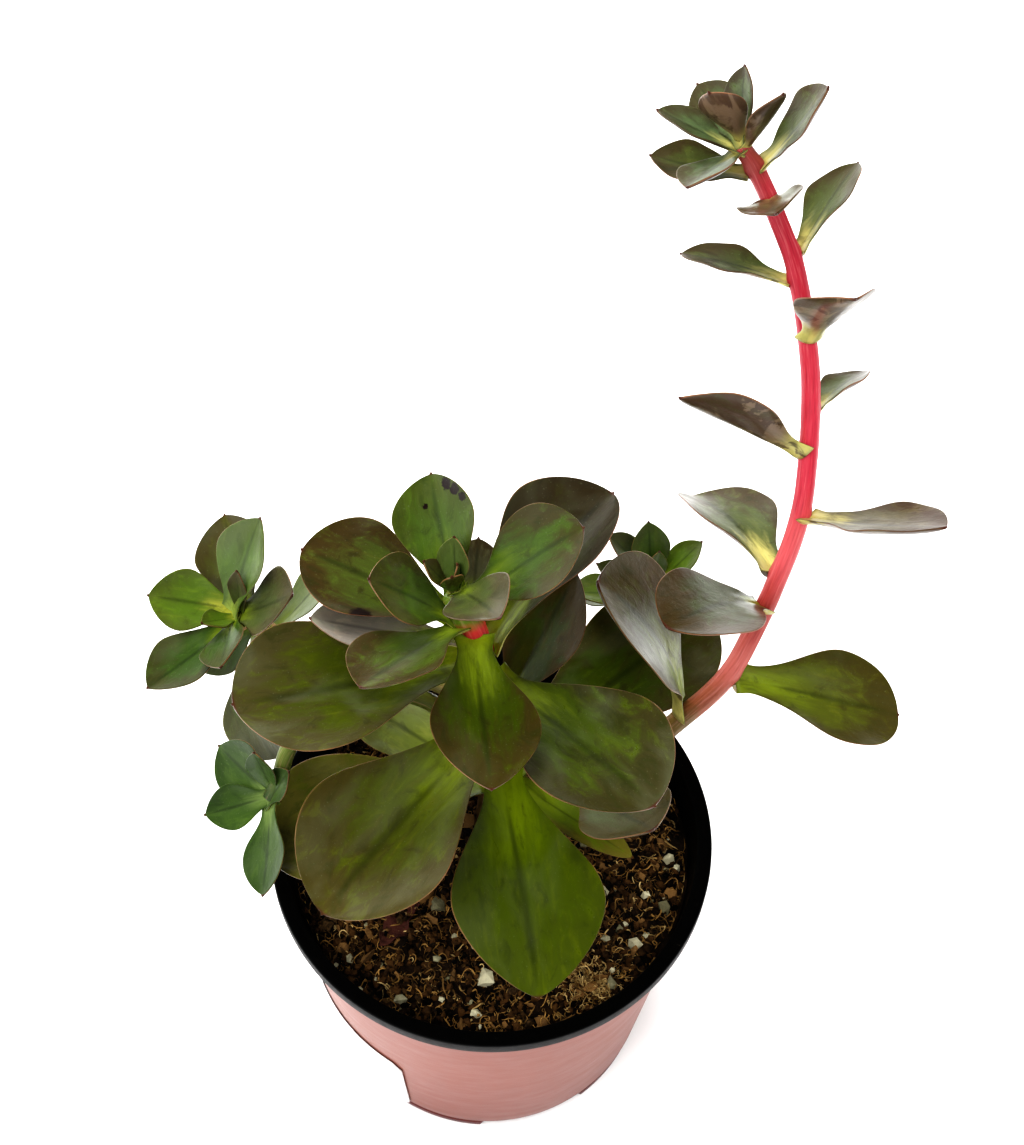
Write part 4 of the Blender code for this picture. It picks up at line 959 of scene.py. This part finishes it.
def make_head(node, leaves, middle, axis, looks, start, stem=None, stem_colours=None):
    """A head's small leaves in one piece, with their looks in turn, and its own stem in another."""
    axis = unit(axis)
    shapes = []
    for k, leaf in enumerate(leaves):
        root = np.array(middle) + leaf.place - unit(np.array(axis)) * 0.3
        shapes.append(fine_leaf(leaf, root, axis, 0.0, start + k, rows=44, around=36, wave=0.12))
    points, faces, values = join_shapes(shapes)
    skins = [leaf_finish(f"{node}_skin_{k + 1}", look) for k, look in enumerate(looks)]
    wearing = np.repeat(np.arange(len(leaves)) % len(looks), len(shapes[0][1]))
    piece = put_mesh(node + "_leaves", points, faces, values, skins, wearing)
    belongs(piece, "young_leaf", node)
    if stem is not None:
        path = smooth_path([*stem[:-1], np.array(stem[-1]) - 0.8 * unit(axis)], 10)
        points, faces, values = fine_stem(path, OFFSET_RADII, (0.3, 0.9, 0.1), around=28, ridges=6, seed=start)
        stalk = put_mesh(node + "_stem", points, faces, values, (stem_finish(node + "_stem", stem_colours),))
        belongs(stalk, "stem", node)


STALK_COLOURS = (
    (0.0, srgb(96, 84, 34)), (0.23, srgb(106, 86, 40)), (0.28, srgb(150, 88, 68)), (0.33, srgb(182, 104, 96)),
    (0.42, srgb(160, 66, 62)), (0.5, srgb(200, 92, 96)), (0.6, srgb(188, 58, 76)), (0.9, srgb(170, 48, 64)),
    (1.0, srgb(160, 78, 74)),
)
MAIN_COLOURS = (
    (0.0, srgb(84, 62, 38)), (0.5, srgb(104, 88, 48)), (0.82, srgb(190, 56, 62)), (0.9, srgb(190, 60, 60)),
    (0.94, srgb(96, 116, 40)),
)
PALE_COLOURS = ((0.0, srgb(120, 116, 62)), (0.6, srgb(160, 140, 92)), (1.0, srgb(186, 150, 112)))
GREEN_COLOURS = ((0.0, srgb(96, 100, 44)), (0.6, srgb(96, 108, 50)), (0.85, srgb(96, 108, 50)), (1.0, srgb(52, 70, 30)))


def plant_stems():
    """The main stem and the flower stalk, with a cushion where each leaf stands."""
    main = smooth_path([*MAIN_STEM[:-1], np.array(CROWN_AT) - (-0.3, 0.3, 2.6)], 14)
    height = distances(main)
    scars = []
    for leaf in MAIN_LEAVES.values():
        turn = math.radians(leaf.around)
        spot = np.interp(leaf.place, main[:, 2], height)
        scars.append((spot, (math.sin(turn), -math.cos(turn), 0.0)))
    points, faces, values = fine_stem(main, MAIN_RADII, (0.0, 1.0, 0.2), scars, seed=2)
    piece = put_mesh("stem_bark", points, faces, values, (stem_finish("main_stem_skin", MAIN_COLOURS),))
    belongs(piece, "stem", "main_stem")

    inner = np.array(STALK_HEAD_AT) - unit(STALK_HEAD_AXIS) * 0.5
    stalk = smooth_path([*FLOWER_STALK[:-1], inner], 14)
    scars = []
    for leaf in STALK_LEAVES.values():
        _, axis = along(stalk, leaf.place)
        forward = unit(FRONT - axis * (FRONT @ axis))
        turn = math.radians(leaf.around)
        scars.append((leaf.place, forward * math.cos(turn) + np.cross(axis, forward) * math.sin(turn)))
    points, faces, values = fine_stem(stalk, STALK_RADII, (0.3, -0.6, 0.75), scars, around=44, seed=5)
    piece = put_mesh("stalk_skin", points, faces, values, (stem_finish("stalk_skin", STALK_COLOURS),))
    belongs(piece, "stem", "flower_stalk")


def plant_heads():
    """Each head, with a look for each of its leaves."""
    dark = YOUNG._replace(face=srgb(52, 72, 24), brown=0.5)
    bright = YOUNG._replace(base=srgb(150, 150, 56), face=srgb(74, 94, 24), brown=0.35)
    limed = YOUNG._replace(base=srgb(140, 154, 70), face=srgb(72, 92, 38), brown=0.3, sheen=0.15)
    dusky = YOUNG._replace(face=srgb(62, 66, 24), deep=srgb(60, 50, 26), brown=0.8)
    purple = YOUNG._replace(face=srgb(68, 76, 40), deep=srgb(72, 60, 46), under=srgb(70, 76, 42), brown=0.8)
    fresh = YOUNG._replace(face=srgb(84, 100, 50), under=srgb(84, 100, 54), brown=0.2)
    tan = YOUNG._replace(under=srgb(150, 136, 92), patch=srgb(110, 90, 60), sheen=0.2)
    pale = YOUNG._replace(face=srgb(112, 124, 84), brown=0.1, sheen=0.3)
    glossy = YOUNG._replace(base=srgb(110, 128, 70), face=srgb(56, 76, 30), deep=srgb(34, 50, 22), sheen=0.12)
    greyish = YOUNG._replace(base=CREAM, face=srgb(80, 94, 62), under=MAUVE, brown=0.75)
    mauve = greyish._replace(face=srgb(130, 108, 88), deep=srgb(104, 76, 64), brown=0.8)
    make_head("crown", CROWN, CROWN_AT, CROWN_AXIS, (purple, fresh, dusky, dark, dark), 60)
    make_head("stalk_head", STALK_HEAD, STALK_HEAD_AT, STALK_HEAD_AXIS,
              (greyish, greyish, greyish, greyish, mauve, greyish), 70)
    make_head("offset_left", LEFT_OFFSET, LEFT_OFFSET_AT, LEFT_OFFSET_AXIS,
              (bright, dark, limed, dusky, purple, purple, dark, bright, tan, pale), 80,
              LEFT_OFFSET_STEM, PALE_COLOURS)
    make_head("offset_low", LOW_OFFSET, LOW_OFFSET_AT, LOW_OFFSET_AXIS, (glossy,), 100,
              LOW_OFFSET_STEM, GREEN_COLOURS)
    make_head("offset_back", BACK_OFFSET, BACK_OFFSET_AT, BACK_OFFSET_AXIS, (dark, limed, bright), 120,
              BACK_OFFSET_STEM, GREEN_COLOURS)


def make_dry_leaf():
    points, faces, values = fine_leaf(DRY_LEAF, np.array(DRY_LEAF.place), UPRIGHT, 0.0, 9, 0.2, 60, 36, wave=1.3)
    finish = ground_finish("withered", srgb(40, 18, 16), srgb(104, 62, 50), 1.4, 0.5)
    belongs(put_mesh("withered_leaf", points, faces, values, (finish,)), "dry_leaf", "dry_leaf")


# The studio

def camera_axes():
    """The camera's right, up and ahead: turned down, to the side and about its own axis."""
    down, yaw, roll = np.radians([CAMERA_DOWN, CAMERA_YAW, CAMERA_ROLL])
    ahead = np.array([math.sin(yaw) * math.cos(down), math.cos(yaw) * math.cos(down), -math.sin(down)])
    level = np.array([math.cos(yaw), -math.sin(yaw), 0.0])
    steep = np.cross(level, ahead)
    right = level * math.cos(roll) + steep * math.sin(roll)
    return right, steep * math.cos(roll) - level * math.sin(roll), ahead


def make_camera():
    """The photograph's view."""
    right, up, ahead = camera_axes()
    data = bpy.data.cameras.new("camera")
    data.sensor_width = SENSOR
    data.lens = SENSOR * FOCAL_PIXELS / FRAME_HEIGHT
    data.clip_start, data.clip_end = 0.01, 20
    camera = bpy.data.objects.new("camera", data)
    matrix = np.eye(4)
    matrix[:3, 0], matrix[:3, 1], matrix[:3, 2] = right, up, -ahead
    matrix[:3, 3] = np.array(CAMERA_AT) * MM
    camera.matrix_world = matrix.T.tolist()
    bpy.context.scene.collection.objects.link(camera)
    bpy.context.scene.camera = camera


def soft_light(name, place, target, size, power):
    """A square soft light at a place, facing a target, in metres; it lights things and doesn't show in gloss."""
    data = bpy.data.lights.new(name, "AREA")
    data.size, data.energy = size, power
    light = bpy.data.objects.new(name, data)
    light.visible_glossy = False
    light.location = place
    way = unit(np.array(target) - np.array(place))
    side = unit(np.cross(way, (0.01, 0.99, 0.1)))
    up = np.cross(side, way)
    matrix = np.eye(4)
    matrix[:3, 0], matrix[:3, 1], matrix[:3, 2], matrix[:3, 3] = side, up, -way, place
    light.matrix_world = matrix.T.tolist()
    bpy.context.scene.collection.objects.link(light)


SKY = 0.7  # the sky as it lights things
GLOSS_LOW, GLOSS_HIGH = 1.3, 0.1  # the sky as it shows in gloss, near the horizon and overhead
GLOSS_RIGHT = 0.12  # the share of that which the right side keeps


def make_studio():
    """A pale floor, three soft lights, and an even sky that gloss shows as a bright low band, mostly at the left."""
    floor = put_mesh("floor", np.array([[-3000, -3000, -0.1], [3000, -3000, -0.1], [3000, 3000, -0.1],
                                        [-3000, 3000, -0.1]]), [[0, 1, 2, 3]])
    paper = Finish("floor_paper", Roughness=0.9)
    paper.set("Base Color", (0.93, 0.93, 0.925))
    floor.data.materials.append(paper.material)
    world = bpy.data.worlds.new("sky")
    world.use_nodes = True
    tree = world.node_tree
    rays = tree.nodes.new("ShaderNodeLightPath")
    strength = tree.nodes.new("ShaderNodeMix")
    tree.links.new(rays.outputs["Is Glossy Ray"], strength.inputs[0])
    strength.inputs[2].default_value = SKY
    rise = tree.nodes.new("ShaderNodeSeparateXYZ")
    tree.links.new(tree.nodes.new("ShaderNodeTexCoord").outputs["Generated"], rise.inputs[0])
    band = tree.nodes.new("ShaderNodeMapRange")
    band.interpolation_type = "SMOOTHSTEP"
    tree.links.new(rise.outputs[2], band.inputs["Value"])
    for socket, value in (("From Min", 0.3), ("From Max", 0.75), ("To Min", GLOSS_LOW), ("To Max", GLOSS_HIGH)):
        band.inputs[socket].default_value = value
    sides = tree.nodes.new("ShaderNodeMapRange")
    sides.interpolation_type = "SMOOTHSTEP"
    tree.links.new(rise.outputs[0], sides.inputs["Value"])
    for socket, value in (("From Min", -0.3), ("From Max", 0.4), ("To Min", 1.0), ("To Max", GLOSS_RIGHT)):
        sides.inputs[socket].default_value = value
    shown = tree.nodes.new("ShaderNodeMath")
    shown.operation = "MULTIPLY"
    tree.links.new(band.outputs[0], shown.inputs[0])
    tree.links.new(sides.outputs[0], shown.inputs[1])
    tree.links.new(shown.outputs[0], strength.inputs[3])
    tree.nodes["Background"].inputs[0].default_value = (1, 1, 1, 1)
    tree.links.new(strength.outputs[0], tree.nodes["Background"].inputs[1])
    bpy.context.scene.world = world
    soft_light("key", (-0.5, 0.95, 1.5), (0, 0.03, 0.1), 1.1, 30)
    soft_light("front", (-0.7, -0.6, 1.3), (0, 0.03, 0.1), 0.9, 15)
    soft_light("fill", (1.0, 0.1, 1.2), (0, 0.03, 0.1), 0.7, 7)
    settings = bpy.context.scene.view_settings
    settings.view_transform, settings.look = "Standard", "High Contrast"


make_camera()
make_studio()
make_pot()
make_soil()
make_litter()
plant_stems()
plant_leaves()
plant_heads()
make_dry_leaf()
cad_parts["label"].data.materials.clear()
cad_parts["label"].data.materials.append(label_finish())
